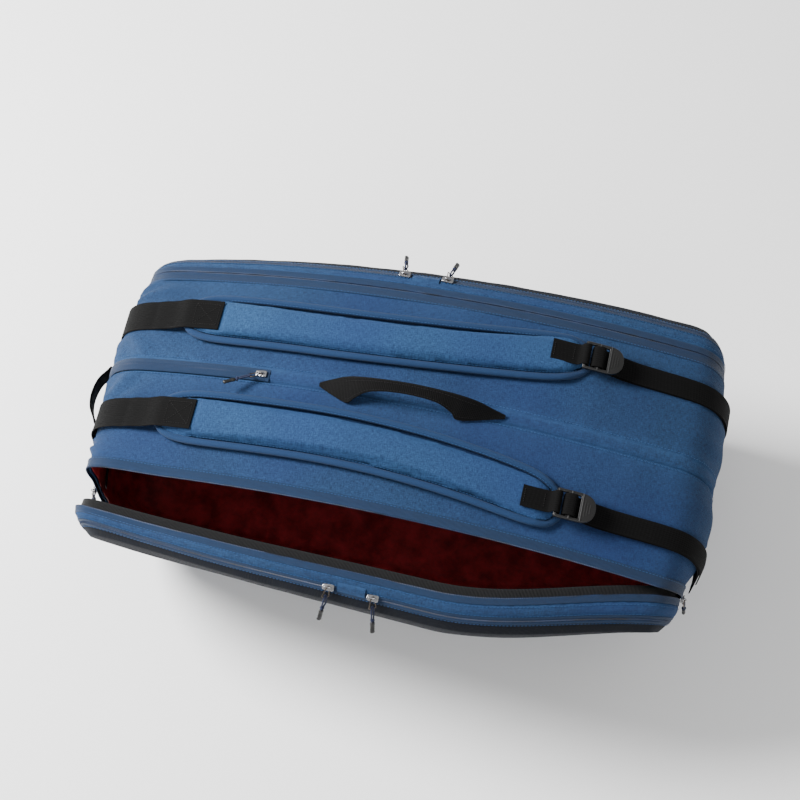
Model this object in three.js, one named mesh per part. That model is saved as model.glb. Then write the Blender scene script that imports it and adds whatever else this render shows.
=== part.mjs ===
// Racket tournament bag, lying on its front panels with the carrying straps up.
// Millimetres: +X towards the racket heads, -Y towards the open compartment, +Z up.
import * as THREE from "three";

// Driving dimensions of the bag's side profile
const HANDLE_END_X = -372;
const HEAD_END_X = 388;
const ARCH_TOP_Z = 330;
const ARCH_RADIUS = 1250;
const ARCH_CENTRE_X = 60;
const ARCH_START_X = -318;
const ARCH_END_X = 335;
const WALL_TOP_HANDLE_Z = 205;
const WALL_TOP_HEAD_Z = 215;
const WALL_LOW_HANDLE_Z = 110;
const WALL_LOW_HEAD_Z = 115;
const MID_SEAM_Z = 158;
const FLAT_START_X = -262;
const FLAT_END_X = 270;
const CORNER_STEPS = 5;
const ARCH_STEPS = 12;
const ARCH_START_INDEX = 1 + CORNER_STEPS;
const ARCH_END_INDEX = ARCH_START_INDEX + ARCH_STEPS;
const CENTRE_ZIP_END_INDEX = ARCH_START_INDEX + 3;

// Width of the body and of the covers, which grow towards the racket heads
const LIP_HALF_WIDTH = 141;
const LIP_TAPER = 0.022;
const OUTER_HALF_WIDTH = 184;
const OUTER_TAPER = 0.045;
const CENTRE_HALF_GAP = 8;
const CROWN_DROP = 14;
const FRONT_LIFT = 26;
const FRONT_FLAT_SHARE = 0.7;

// Cloth thicknesses and running gaps
const PANEL_THICKNESS = 3;
const LINING_THICKNESS = 1.5;
const WEBBING_THICKNESS = 1.5;
const GAP = 0.3;
const LINING_GAP = 0.8;

// Covers
const NEAR_OPEN_DEG = 15;
const HINGE_Z = 38;
const COVER_LIFT = 38;
const COVER_EDGE_DROP = 18;
const COVER_EDGE_LIFT = 17;
const COVER_INNER_OFFSET = 11.2;
const GUSSET_START_SHARE = 0.3;
const POCKET_ZIP_START = 0.64;
const POCKET_ZIP_END = 0.74;
const LID_START = 0.76;

// Shoulder pads and straps
const PAD_START_X = -284;
const PAD_END_X = 212;
const PAD_HALF_WIDTH = 32;
const PAD_THICKNESS = 13;
const PAD_LIFT = 1;
const WIDE_WEBBING = 38;
const NARROW_WEBBING = 26;
const STRAP_LIFT = 1.7;
const BUCKLE_X = 206;
const BUCKLE_LIFT = 20;
const BUCKLE_HALF_WIDTH = 18;

// Zip parts: where each strip of the main zip starts and ends beyond the lip
const BODY_TAPE_END = 3.9;
const TEETH_START = 4.2;
const TEETH_END = 5.4;
const TEETH_RISE = 1;
const TEETH_HEIGHT = 3;
const COVER_TAPE_START = 5.8;
const COVER_TAPE_END = 10.8;
const COVER_TAPE_THICKNESS = 1.8;
const ZIP_MIDDLE = 5;
const ZIP_TAPE_THICKNESS = 1.4;
const SLIDER_LENGTH = 14;
const SLIDER_WIDTH = 8;
const PULL_ROOT = 6;
const PULL_LENGTH = 48;
const PIVOT_HEIGHT = 3.6;
const CENTRE_SLIDER_X = -170;
const HEAD_SLIDER_Z = 200;
const HANDLE_SLIDER_Z = 165;
const FAR_UPPER_SLIDER_Z = 176;
const FAR_LOWER_SLIDER_Z = 150;
const POCKET_SLIDER_XS = [-32, 22];

// Grab handle: a leaning band between two roots on the centre seam
const HANDLE_START_X = -97;
const HANDLE_FINISH_X = 127;
const HANDLE_TALLEST = 48;
const HANDLE_BAND = 20;
const HANDLE_LEAN_DEG = -12;
const HANDLE_SHOULDER = 58;
const HANDLE_FOOT = 28;
const HANDLE_THICKNESS = 3;

// End handle: a low loop across the handle end
const END_HANDLE_ZS = [188, 213];
const END_HANDLE_HALF_THICKNESS = 1.2;

// The model's origin is the middle of its bounding box's floor
const ORIGIN_SHIFT = new THREE.Vector3(1.1, 31.3, 0);

const vec2 = (x, z) => new THREE.Vector2(x, z);
const vec3 = (x, y, z) => new THREE.Vector3(x, y, z);
const ARCH_CENTRE_Z = ARCH_TOP_Z - ARCH_RADIUS;
const FAR = 1;
const NEAR = -1;
const SIDES = [["far", FAR], ["near", NEAR]];

const fabricBlue = { color: 0x35699f, roughness: 0.82, metalness: 0 };
const zipBlue = { color: 0x2f6a94, roughness: 0.7, metalness: 0 };
const liningRed = { color: 0x4d1219, roughness: 0.45, metalness: 0.1 };
const liningGrey = { color: 0x2b2c30, roughness: 0.6, metalness: 0 };
const webbingBlack = { color: 0x232120, roughness: 0.85, metalness: 0 };
const mouldedBlack = { color: 0x1b1b1c, roughness: 0.4, metalness: 0 };
const sliderMetal = { color: 0xb9bcc0, roughness: 0.3, metalness: 0.9 };
const cordNavy = { color: 0x1b2440, roughness: 0.75, metalness: 0 };

// ---------------------------------------------------------------- solids

// Normal of a section, by summing over its edges.
function sectionNormal(section) {
  const normal = new THREE.Vector3();
  const edge = new THREE.Vector3();
  section.forEach((point, i) => {
    normal.add(edge.crossVectors(point, section[(i + 1) % section.length]));
  });
  return normal;
}

// Triangles that close one planar section, wound as the section is.
function capTriangles(section) {
  const { x, y, z } = sectionNormal(section.map((point) => point.clone().sub(section[0])));
  const flat = section.map((p) => {
    if (Math.abs(x) >= Math.max(Math.abs(y), Math.abs(z))) return new THREE.Vector2(p.y, p.z);
    if (Math.abs(y) >= Math.abs(z)) return new THREE.Vector2(p.x, p.z);
    return new THREE.Vector2(p.x, p.y);
  });
  const turn = Math.sign(THREE.ShapeUtils.area(flat));
  return THREE.ShapeUtils.triangulateShape(flat, []).map((face) => {
    const faceTurn = Math.sign(THREE.ShapeUtils.area(face.map((corner) => flat[corner])));
    return faceTurn === turn ? face : [face[0], face[2], face[1]];
  });
}

// Six times the signed volume that the triangles enclose.
function signedVolume(points, triangles) {
  const cross = new THREE.Vector3();
  return triangles.reduce((sum, [a, b, c]) => {
    return sum + cross.crossVectors(points[b], points[c]).dot(points[a]);
  }, 0);
}

// Two triangles for the quad a, b, c, d, split along its shorter diagonal.
function quad(points, a, b, c, d) {
  const first = points[a].distanceToSquared(points[c]);
  const second = points[b].distanceToSquared(points[d]);
  return first <= second ? [[a, b, c], [a, c, d]] : [[a, b, d], [b, c, d]];
}

// A closed body through sections that all have the same number of points.
function loft(sections, closed = false) {
  const count = sections[0].length;
  const points = sections.flat();
  const triangles = [];
  const spans = closed ? sections.length : sections.length - 1;
  for (let i = 0; i < spans; i += 1) {
    const here = i * count;
    const next = ((i + 1) % sections.length) * count;
    for (let j = 0; j < count; j += 1) {
      const k = (j + 1) % count;
      triangles.push(...quad(points, here + j, next + j, next + k, here + k));
    }
  }
  if (!closed) {
    const last = points.length - count;
    triangles.push(...capTriangles(sections[0]));
    const endCap = capTriangles(sections.at(-1));
    triangles.push(...endCap.map(([a, b, c]) => [last + a, last + c, last + b]));
  }
  const outward = signedVolume(points, triangles) > 0;
  const geometry = new THREE.BufferGeometry().setFromPoints(points);
  geometry.setIndex(triangles.flatMap(([a, b, c]) => (outward ? [a, b, c] : [a, c, b])));
  return geometry;
}

function addMesh(group, name, geometry, finish) {
  const mesh = new THREE.Mesh(geometry, new THREE.MeshStandardMaterial(finish));
  mesh.name = name;
  group.add(mesh);
  return mesh;
}

// ---------------------------------------------------------------- profile

const archRise = (x) => Math.sqrt(ARCH_RADIUS ** 2 - (x - ARCH_CENTRE_X) ** 2);
const archHeight = (x) => ARCH_CENTRE_Z + archRise(x);
const archSlope = (x) => -(x - ARCH_CENTRE_X) / archRise(x);

function corner(start, control, end) {
  return new THREE.QuadraticBezierCurve(start, control, end).getPoints(CORNER_STEPS);
}

// Point where the arch's tangent at archX meets the end wall at wallX.
function wallTangent(archX, wallX) {
  return vec2(wallX, archHeight(archX) + archSlope(archX) * (wallX - archX));
}

function upperHalf() {
  const arch = [];
  for (let i = 1; i < ARCH_STEPS; i += 1) {
    const x = ARCH_START_X + ((ARCH_END_X - ARCH_START_X) * i) / ARCH_STEPS;
    arch.push(vec2(x, archHeight(x)));
  }
  const archStart = vec2(ARCH_START_X, archHeight(ARCH_START_X));
  const archEnd = vec2(ARCH_END_X, archHeight(ARCH_END_X));
  return [
    vec2(HANDLE_END_X, MID_SEAM_Z + GAP / 2),
    ...corner(vec2(HANDLE_END_X, WALL_TOP_HANDLE_Z), wallTangent(ARCH_START_X, HANDLE_END_X), archStart),
    ...arch,
    ...corner(archEnd, wallTangent(ARCH_END_X, HEAD_END_X), vec2(HEAD_END_X, WALL_TOP_HEAD_Z)),
    vec2(HEAD_END_X, MID_SEAM_Z + GAP / 2),
  ];
}

function lowerHalf() {
  return [
    vec2(HEAD_END_X, MID_SEAM_Z - GAP / 2),
    ...corner(vec2(HEAD_END_X, WALL_LOW_HEAD_Z), vec2(HEAD_END_X, 0), vec2(FLAT_END_X, 0)),
    ...corner(vec2(FLAT_START_X, 0), vec2(HANDLE_END_X, 0), vec2(HANDLE_END_X, WALL_LOW_HANDLE_Z)),
    vec2(HANDLE_END_X, MID_SEAM_Z - GAP / 2),
  ];
}

const upperPoints = upperHalf();
const profile = [...upperPoints, ...lowerHalf()];
const UPPER_COUNT = upperPoints.length;
const wrap = (index) => (index + profile.length) % profile.length;
const indexRange = (from, to) => Array.from({ length: to - from + 1 }, (_, i) => wrap(from + i));
const WHOLE_LOOP = indexRange(0, profile.length - 1);
const UPPER_RANGE = indexRange(0, UPPER_COUNT - 1);
const LOWER_RANGE = indexRange(UPPER_COUNT, profile.length - 1);
// The zips run up one end, along the strap side and down the other end
const ZIP_RANGE = indexRange(-4, UPPER_COUNT + 3);

// A profile point moved inwards by `top` on the strap side and by `low` on the floor side.
function insetPoint(index, top, low) {
  const here = profile[index];
  const along = profile[wrap(index + 1)].clone().sub(profile[wrap(index - 1)]).normalize();
  const share = 1 - THREE.MathUtils.smoothstep(here.y, 0, MID_SEAM_Z);
  const inset = THREE.MathUtils.lerp(top, low, share);
  return vec2(here.x + along.y * inset, here.y - along.x * inset);
}

const lipY = (x) => LIP_HALF_WIDTH + LIP_TAPER * x;
const outerY = (x) => OUTER_HALF_WIDTH + OUTER_TAPER * x;
const bodyY = (share) => (x) => CENTRE_HALF_GAP + (lipY(x) - CENTRE_HALF_GAP) * share;
const lipOffset = (offset) => (x) => lipY(x) + offset;
const coverY = (share) => (x) => THREE.MathUtils.lerp(lipY(x), outerY(x), share);
const crownDrop = (x, y) => CROWN_DROP * (Math.abs(y) / lipY(x)) ** 2;
const surfaceZ = (x, y) => archHeight(x) - crownDrop(x, y);

// Levels are lines across the bag: the place in Y, and how far the profile is inset there.
const bodyLevel = (share, extra = 0) => ({
  y: bodyY(share),
  top: CROWN_DROP * share ** 2 + extra,
  low: FRONT_LIFT * Math.max(0, (share - FRONT_FLAT_SHARE) / (1 - FRONT_FLAT_SHARE)) + extra,
});
const lipLevel = (offset, extra = 0) => ({
  y: lipOffset(offset),
  top: CROWN_DROP + extra,
  low: FRONT_LIFT + extra,
});
const coverLevel = (y, share, extra = 0) => ({
  y,
  top: CROWN_DROP + COVER_EDGE_DROP * share ** 2.5 + extra,
  low: COVER_LIFT + COVER_EDGE_LIFT * share + extra,
});
const coverShare = (share, extra = 0) => coverLevel(coverY(share), share, extra);

function levelPoint(index, level, extra, side) {
  const point = insetPoint(index, level.top + extra, level.low + extra);
  return vec3(point.x, side * level.y(point.x), point.y);
}

// A cloth wall of even thickness along part of the profile, or all the way round it.
function wall(range, levels, thickness, side, closed = false) {
  return loft(range.map((index) => [
    ...levels.map((level) => levelPoint(index, level, 0, side)),
    ...levels.map((level) => levelPoint(index, level, thickness, side)).reverse(),
  ]), closed);
}

// A solid through whole profile loops, one for each level.
function slab(levels, side) {
  return loft(levels.map((level) => WHOLE_LOOP.map((index) => levelPoint(index, level, 0, side))));
}

// ---------------------------------------------------------------- body

function addBodyShell(group, label, side) {
  const shares = [0, 0.35, FRONT_FLAT_SHARE, 1];
  const levels = shares.map((share) => bodyLevel(share));
  const strapPanel = wall(UPPER_RANGE, levels, PANEL_THICKNESS, side);
  addMesh(group, `strap_panel_${label}`, strapPanel, fabricBlue);
  const frontPanel = wall(LOWER_RANGE, levels, PANEL_THICKNESS, side);
  addMesh(group, `front_panel_${label}`, frontPanel, fabricBlue);
  const under = PANEL_THICKNESS + LINING_GAP;
  const liningLevels = [0.04, 0.35, FRONT_FLAT_SHARE, 0.99].map((share) => bodyLevel(share, under));
  const lining = wall(WHOLE_LOOP, liningLevels, LINING_THICKNESS, side, true);
  addMesh(group, `lining_${label}`, lining, liningRed);
  const dividerInset = PANEL_THICKNESS + 1;
  const dividerLevels = [9, 11.5].map((y) => ({ y: () => y, top: dividerInset, low: dividerInset }));
  addMesh(group, `divider_${label}`, slab(dividerLevels, side), liningGrey);
}

function addMainZip(group, label, side) {
  const tape = wall(ZIP_RANGE, [lipLevel(GAP), lipLevel(BODY_TAPE_END)], WEBBING_THICKNESS, side);
  addMesh(group, `main_zip_tape_${label}`, tape, zipBlue);
  const teethLevels = [lipLevel(TEETH_START, -TEETH_RISE), lipLevel(TEETH_END, -TEETH_RISE)];
  const teeth = wall(ZIP_RANGE, teethLevels, TEETH_HEIGHT, side);
  addMesh(group, `main_zip_teeth_${label}`, teeth, zipBlue);
}

// Closed strip down the middle of the bag: the centre pocket's zip, and plain welt elsewhere.
function addCentre(group) {
  const halfWidth = CENTRE_HALF_GAP - GAP;
  const strip = (inset, half) => [-half, half].map((y) => ({ y: () => y, top: inset, low: inset }));
  const tapeRange = indexRange(1, CENTRE_ZIP_END_INDEX);
  const weltRange = indexRange(CENTRE_ZIP_END_INDEX, profile.length);
  const coilRange = indexRange(ARCH_START_INDEX - 2, CENTRE_ZIP_END_INDEX);
  const tape = wall(tapeRange, strip(0.5, halfWidth), WEBBING_THICKNESS, FAR);
  addMesh(group, "centre_zip_tape", tape, zipBlue);
  const welt = wall(weltRange, strip(0.8, halfWidth), PANEL_THICKNESS, FAR);
  welt.translate(GAP, 0, 0);
  addMesh(group, "centre_welt", welt, fabricBlue);
  const coil = wall(coilRange, strip(-1.2, 3), 1.4, FAR);
  addMesh(group, "centre_zip_coil", coil, zipBlue);
}

// ---------------------------------------------------------------- straps

// A flat strap along a path in the XZ plane, with its middle at middleY(x).
function strap(path, middleY, width) {
  return loft(path.map((point, i) => {
    const before = path[Math.max(i - 1, 0)];
    const after = path[Math.min(i + 1, path.length - 1)];
    const along = after.clone().sub(before).normalize();
    const lift = vec2(-along.y, along.x).multiplyScalar(WEBBING_THICKNESS / 2);
    const y = middleY(point.x);
    const high = point.clone().add(lift);
    const low = point.clone().sub(lift);
    return [
      vec3(low.x, y - width / 2, low.y),
      vec3(high.x, y - width / 2, high.y),
      vec3(high.x, y + width / 2, high.y),
      vec3(low.x, y + width / 2, low.y),
    ];
  }));
}

const padMiddle = (x) => 67 + 29 * THREE.MathUtils.clamp((x + 120) / 320, 0, 1) ** 2;
const padWidthAt = (x) => {
  const middle = (PAD_START_X + PAD_END_X) / 2;
  const half = (PAD_END_X - PAD_START_X) / 2;
  return PAD_HALF_WIDTH * Math.sqrt(Math.max(0, 1 - Math.abs((x - middle) / half) ** 14));
};

function addPad(group, label, side) {
  const xs = [-282, -276, -266, -250, -215, -175, -130, -85, -40, 5, 45, 80, 115, 150, 172, 190, 203, 209];
  const sections = xs.map((x) => {
    const width = padWidthAt(x);
    const tall = PAD_THICKNESS * THREE.MathUtils.clamp((PAD_END_X + 4 - x) / 30, 0.4, 1);
    const outline = [[-1, 0], [0, 0], [1, 0], [1, 0.5], [0.65, 1], [-0.65, 1], [-1, 0.5]];
    return outline.map(([across, up]) => {
      const y = padMiddle(x) + across * width;
      return vec3(x, side * y, surfaceZ(x, y) + PAD_LIFT + up * tall);
    });
  });
  addMesh(group, `shoulder_pad_${label}`, loft(sections), fabricBlue);
}

// Path over the strap side at the given heights, then on round an end of the bag.
function heightPath(stations, innerY) {
  return stations.map(([x, height]) => vec2(x, surfaceZ(x, innerY) + height));
}

function endPath(range, innerY) {
  const share = (innerY - CENTRE_HALF_GAP) / (LIP_HALF_WIDTH - CENTRE_HALF_GAP);
  const inset = CROWN_DROP * share ** 2 - STRAP_LIFT;
  return range.map((index) => insetPoint(index, inset, -STRAP_LIFT));
}

function addAnchorWebbing(group, label, side) {
  const middle = padMiddle(PAD_START_X);
  const innerY = middle - WIDE_WEBBING / 2;
  const padTop = PAD_LIFT + PAD_THICKNESS + 1.4;
  const stations = [
    [-305, STRAP_LIFT], [-297, 5.5], [-289, 12], [-281, padTop], [-262, padTop], [-238, padTop],
  ];
  const path = [...endPath(indexRange(0, ARCH_START_INDEX), innerY), ...heightPath(stations, innerY)];
  const geometry = strap(path, () => side * middle, WIDE_WEBBING);
  addMesh(group, `anchor_webbing_${label}`, geometry, webbingBlack);
}

// The ladder lock's own frame: origin on its first bar, X along the arch's tangent.
const buckleTilt = Math.atan(archSlope(BUCKLE_X + 20));
const buckleY = padMiddle(BUCKLE_X);
const buckleSeat = surfaceZ(BUCKLE_X, buckleY - PAD_HALF_WIDTH / 2);
const buckleOrigin = vec2(BUCKLE_X, buckleSeat + BUCKLE_LIFT);
const fromBuckle = ([x, z]) => vec2(x, z).rotateAround(vec2(0, 0), buckleTilt).add(buckleOrigin);

function addBuckleLoop(group, label, side) {
  const local = [
    [-41, -4.6], [-12, -4.6], [-6, -2.6], [-4.4, 1], [-1.6, 4.1], [2.4, 4],
    [4.5, 0.8], [3.6, -3.4], [-1, -4.7],
  ];
  const geometry = strap(local.map(fromBuckle), () => side * buckleY, NARROW_WEBBING);
  addMesh(group, `buckle_loop_${label}`, geometry, webbingBlack);
}

function addLadderLock(group, label, side) {
  const half = BUCKLE_HALF_WIDTH;
  const frame = new THREE.Shape();
  const [start, straightEnd, bend, tip] = [-2.2, 26, 34, 46];
  frame.moveTo(start, -half);
  frame.lineTo(straightEnd, -half);
  frame.bezierCurveTo(bend, -half, tip, -half * 0.7, tip, 0);
  frame.bezierCurveTo(tip, half * 0.7, bend, half, straightEnd, half);
  frame.lineTo(start, half);
  [[2, 12.5, 3.4], [19.5, 27, 3.7]].forEach(([from, to, rail]) => {
    const slot = new THREE.Path();
    slot.moveTo(from, -half + rail);
    slot.lineTo(from, half - rail);
    slot.lineTo(to, half - rail);
    slot.lineTo(to, -half + rail);
    frame.holes.push(slot);
  });
  const depth = 4.6;
  const geometry = new THREE.ExtrudeGeometry(frame, { depth, bevelEnabled: false, curveSegments: 5 });
  geometry.translate(0, 0, -depth / 2);
  const lock = addMesh(group, `ladder_lock_${label}`, geometry, mouldedBlack);
  lock.position.set(buckleOrigin.x, side * buckleY, buckleOrigin.y);
  lock.rotation.y = -buckleTilt;
}

// From its free tail, through the lock and back under it, along the bag and down the head end.
function addAdjustWebbing(group, label, side) {
  const innerY = buckleY - NARROW_WEBBING / 2;
  const tailHeight = STRAP_LIFT + 3;
  const tail = heightPath([[330, tailHeight], [300, tailHeight], [272, tailHeight + 1.4]], innerY);
  const turn = [
    [47, -9.6], [33, -5.6], [26, -4.6], [22.6, -1.4], [22.2, 2.6], [20, 4.6],
    [15, 4.8], [11, 3.8], [8.6, 1], [8.2, -3], [10.5, -6.6], [17, -8.4], [26, -9.4], [34, -11.2],
    [48, -15.6],
  ];
  const load = heightPath([[268, STRAP_LIFT + 0.8], [290, STRAP_LIFT], [315, STRAP_LIFT]], innerY);
  const end = endPath(indexRange(ARCH_END_INDEX, UPPER_COUNT - 1), innerY);
  const path = [...tail, ...turn.map(fromBuckle), ...load, ...end];
  const geometry = strap(path, () => side * buckleY, NARROW_WEBBING);
  addMesh(group, `adjust_webbing_${label}`, geometry, webbingBlack);
}

// Webbing handle: a tall band, leaning a little, whose feet are sewn into the centre seam.
function addGrabHandle(group) {
  const outline = new THREE.Shape();
  const length = HANDLE_FINISH_X - HANDLE_START_X;
  const top = HANDLE_TALLEST;
  const under = HANDLE_TALLEST - HANDLE_BAND;
  const lift = 2.6;
  const crown = 6;
  const inner = HANDLE_SHOULDER + 10;
  outline.moveTo(0, lift);
  outline.quadraticCurveTo(30, top * 0.8, HANDLE_SHOULDER, top);
  outline.quadraticCurveTo(length / 2, top + crown, length - HANDLE_SHOULDER, top);
  outline.quadraticCurveTo(length - 30, top * 0.8, length, lift);
  outline.lineTo(length - HANDLE_FOOT, lift);
  outline.quadraticCurveTo(length - 45, under - 3, length - inner, under);
  outline.quadraticCurveTo(length / 2, under + crown, inner, under);
  outline.quadraticCurveTo(45, under - 3, HANDLE_FOOT, lift);
  const depth = HANDLE_THICKNESS;
  const geometry = new THREE.ExtrudeGeometry(outline, { depth, bevelEnabled: false, curveSegments: 4 });
  geometry.translate(0, 0, -depth / 2);
  geometry.rotateX(Math.PI / 2);
  const handle = addMesh(group, "grab_handle", geometry, webbingBlack);
  const lean = THREE.MathUtils.degToRad(HANDLE_LEAN_DEG);
  const pitch = Math.atan2(archHeight(HANDLE_FINISH_X) - archHeight(HANDLE_START_X), length);
  handle.position.set(HANDLE_START_X, 0, archHeight(HANDLE_START_X) + 1.2);
  handle.rotation.set(lean, -pitch, 0, "YXZ");
}

// Short haul loop sewn across the handle end.
function addEndHandle(group) {
  const points = [
    [-375, -66], [-378, -60], [-386, -46], [-389, -28], [-386, -8], [-378, 6], [-375, 12],
  ];
  const sections = points.map(([x, y], i) => {
    const before = points[Math.max(i - 1, 0)];
    const after = points[Math.min(i + 1, points.length - 1)];
    const along = vec2(after[0] - before[0], after[1] - before[1]).normalize();
    const offset = vec2(along.y, -along.x).multiplyScalar(END_HANDLE_HALF_THICKNESS);
    const [low, high] = END_HANDLE_ZS;
    return [
      vec3(x - offset.x, y - offset.y, low),
      vec3(x + offset.x, y + offset.y, low),
      vec3(x + offset.x, y + offset.y, high),
      vec3(x - offset.x, y - offset.y, high),
    ];
  });
  addMesh(group, "end_handle", loft(sections), webbingBlack);
}

// ---------------------------------------------------------------- zip sliders

// Side outline of a slider: a flat foot with the arched holder of the pull on top.
function sliderGeometry() {
  const half = SLIDER_LENGTH / 2;
  const outline = new THREE.Shape();
  outline.moveTo(-half, 0);
  outline.lineTo(half, 0);
  outline.lineTo(half - 0.5, 2.6);
  outline.lineTo(3.6, 3);
  outline.lineTo(2.6, 5.6);
  outline.lineTo(-2.6, 5.6);
  outline.lineTo(-3.6, 3);
  outline.lineTo(-half + 0.5, 2.6);
  const geometry = new THREE.ExtrudeGeometry(outline, { depth: SLIDER_WIDTH, bevelEnabled: false });
  geometry.rotateX(Math.PI / 2);
  geometry.translate(0, SLIDER_WIDTH / 2, 0);
  return geometry;
}

// Pull hanging along +X from the pivot: wire, then cord, then a moulded end.
function pullGeometry() {
  const length = PULL_LENGTH;
  const profilePoints = [
    vec2(0, PULL_ROOT), vec2(1.2, PULL_ROOT), vec2(1.2, length * 0.4), vec2(1.6, length * 0.45),
    vec2(1.6, length - 16), vec2(3, length - 14.5), vec2(3, length - 1), vec2(0, length),
  ];
  const geometry = new THREE.LatheGeometry(profilePoints, 6);
  geometry.rotateZ(-Math.PI / 2);
  return geometry;
}

// A slider at `foot`, running along `along` with its top towards `up`, and its hanging pull.
function addSlider(group, label, foot, along, up, hang) {
  const across = new THREE.Vector3().crossVectors(up, along);
  const slider = addMesh(group, `${label}_slider`, sliderGeometry(), sliderMetal);
  slider.position.copy(foot);
  slider.quaternion.setFromRotationMatrix(new THREE.Matrix4().makeBasis(along, across, up));
  const pull = addMesh(group, `${label}_pull`, pullGeometry(), cordNavy);
  pull.position.copy(foot).addScaledVector(up, PIVOT_HEIGHT);
  pull.quaternion.setFromUnitVectors(vec3(1, 0, 0), hang.clone().normalize());
}

const archTangent = (x) => vec3(1, 0, archSlope(x)).normalize();
const archNormal = (x) => vec3(-archSlope(x), 0, 1).normalize();

// A point on the arch moved out along its normal by `lift`.
function archFoot(x, y, lift) {
  return vec3(x, y, archHeight(x)).addScaledVector(archNormal(x), lift);
}

function addCentreSlider(group) {
  const hang = vec3(-0.84, -0.54, 0.19);
  const foot = archFoot(CENTRE_SLIDER_X, 0, 1.5);
  const along = archTangent(CENTRE_SLIDER_X);
  addSlider(group, "centre_zip", foot, along, archNormal(CENTRE_SLIDER_X), hang);
}

// The main zip's sliders all stop on the end walls, with their pulls hanging down.
function addMainSliders(group) {
  const handleWallX = HANDLE_END_X + CROWN_DROP - ZIP_TAPE_THICKNESS;
  const headWallX = HEAD_END_X - CROWN_DROP + ZIP_TAPE_THICKNESS;
  const along = vec3(0, 0, 1);
  const addWallSlider = (name, wallX, side, z, hang) => {
    const foot = vec3(wallX, side * (lipY(wallX) + ZIP_MIDDLE), z);
    addSlider(group, `main_zip_${name}`, foot, along, vec3(Math.sign(wallX), 0, 0), hang);
  };
  addWallSlider("near_handle_end", handleWallX, NEAR, HANDLE_SLIDER_Z, vec3(-0.12, 0, -1));
  addWallSlider("near_head_end", headWallX, NEAR, HEAD_SLIDER_Z, vec3(0.12, 0, -1));
  addWallSlider("far_upper", handleWallX, FAR, FAR_UPPER_SLIDER_Z, vec3(-0.12, 0.6, -0.8));
  addWallSlider("far_lower", handleWallX, FAR, FAR_LOWER_SLIDER_Z, vec3(-0.12, -0.15, -1));
}

// ---------------------------------------------------------------- covers

function addCover(group, label, side) {
  const tapeLevels = [coverLevel(lipOffset(COVER_TAPE_START), 0), coverLevel(lipOffset(COVER_TAPE_END), 0)];
  const tape = wall(ZIP_RANGE, tapeLevels, COVER_TAPE_THICKNESS, side);
  addMesh(group, `cover_zip_${label}`, tape, zipBlue);
  const liningLevels = [
    coverLevel(lipOffset(COVER_INNER_OFFSET), 0, GAP),
    coverLevel(lipOffset(COVER_INNER_OFFSET + LINING_THICKNESS), 0, GAP),
  ];
  addMesh(group, `cover_lining_${label}`, slab(liningLevels, side), liningGrey);
  const gussetOffset = COVER_INNER_OFFSET + LINING_THICKNESS + GAP;
  const gussetStart = coverLevel(lipOffset(gussetOffset), GUSSET_START_SHARE);
  const gussetLevels = [gussetStart, coverShare(POCKET_ZIP_START - 0.01)];
  const gusset = wall(WHOLE_LOOP, gussetLevels, PANEL_THICKNESS, side, true);
  addMesh(group, `cover_gusset_${label}`, gusset, fabricBlue);
  const zipLevels = [coverShare(POCKET_ZIP_START, -0.5), coverShare(POCKET_ZIP_END, -0.5)];
  const pocketZip = wall(WHOLE_LOOP, zipLevels, PANEL_THICKNESS, side, true);
  addMesh(group, `pocket_zip_${label}`, pocketZip, zipBlue);
  const tabSections = [-23, -5, 13].map((x) => {
    const tabCorner = (share, lift) => {
      const level = coverShare(share);
      return vec3(x, side * level.y(x), archHeight(x) - level.top + lift);
    };
    return [tabCorner(0.5, 1.2), tabCorner(0.5, 3), tabCorner(0.72, 3.4), tabCorner(0.72, 1.6)];
  });
  addMesh(group, `pocket_tab_${label}`, loft(tabSections), fabricBlue);
  addPocketLid(group, label, side);
  addPocketSliders(group, label, side);
}

// Outer face of the pocket: an open dish, from its inner face round the rim to its outer face.
function addPocketLid(group, label, side) {
  const innerY = (x) => outerY(x) - PANEL_THICKNESS;
  const inner = [
    coverLevel(innerY, 0.96, PANEL_THICKNESS * 1.6),
    coverShare(0.87, PANEL_THICKNESS),
    coverShare(LID_START, PANEL_THICKNESS),
  ];
  const outer = [LID_START, 0.88, 0.96, 1].map((share) => coverShare(share));
  addMesh(group, `pocket_lid_${label}`, slab([...inner, ...outer], side), fabricBlue);
}

function addPocketSliders(group, label, side) {
  const share = (POCKET_ZIP_START + POCKET_ZIP_END) / 2;
  const level = coverShare(share);
  POCKET_SLIDER_XS.forEach((x, i) => {
    const foot = archFoot(x, side * level.y(x), 3 - level.top);
    const hang = vec3(0.12 * (i ? 1 : -1), side * 0.8, -0.6);
    const name = `pocket_${label}_${["handle", "head"][i]}`;
    addSlider(group, name, foot, archTangent(x), archNormal(x), hang);
  });
}

// Cloth strip that joins each cover to the body along its lower edge.
function addHingeStrip(group, label, side) {
  const strip = [lipLevel(GAP, 1), lipLevel(5.2, 1)];
  const range = indexRange(UPPER_COUNT + 6, UPPER_COUNT + 7);
  addMesh(group, `cover_hinge_${label}`, wall(range, strip, 2.5, side), fabricBlue);
}

// Turns a cover outwards by `degrees` about its hinge line.
function coverGroup(side, degrees) {
  const group = new THREE.Group();
  const axis = vec3(-side, -LIP_TAPER, 0).normalize();
  const hinge = vec3(0, side * LIP_HALF_WIDTH, HINGE_Z);
  group.quaternion.setFromAxisAngle(axis, THREE.MathUtils.degToRad(degrees));
  group.position.copy(hinge).sub(hinge.clone().applyQuaternion(group.quaternion));
  return group;
}

// ---------------------------------------------------------------- assembly

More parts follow.
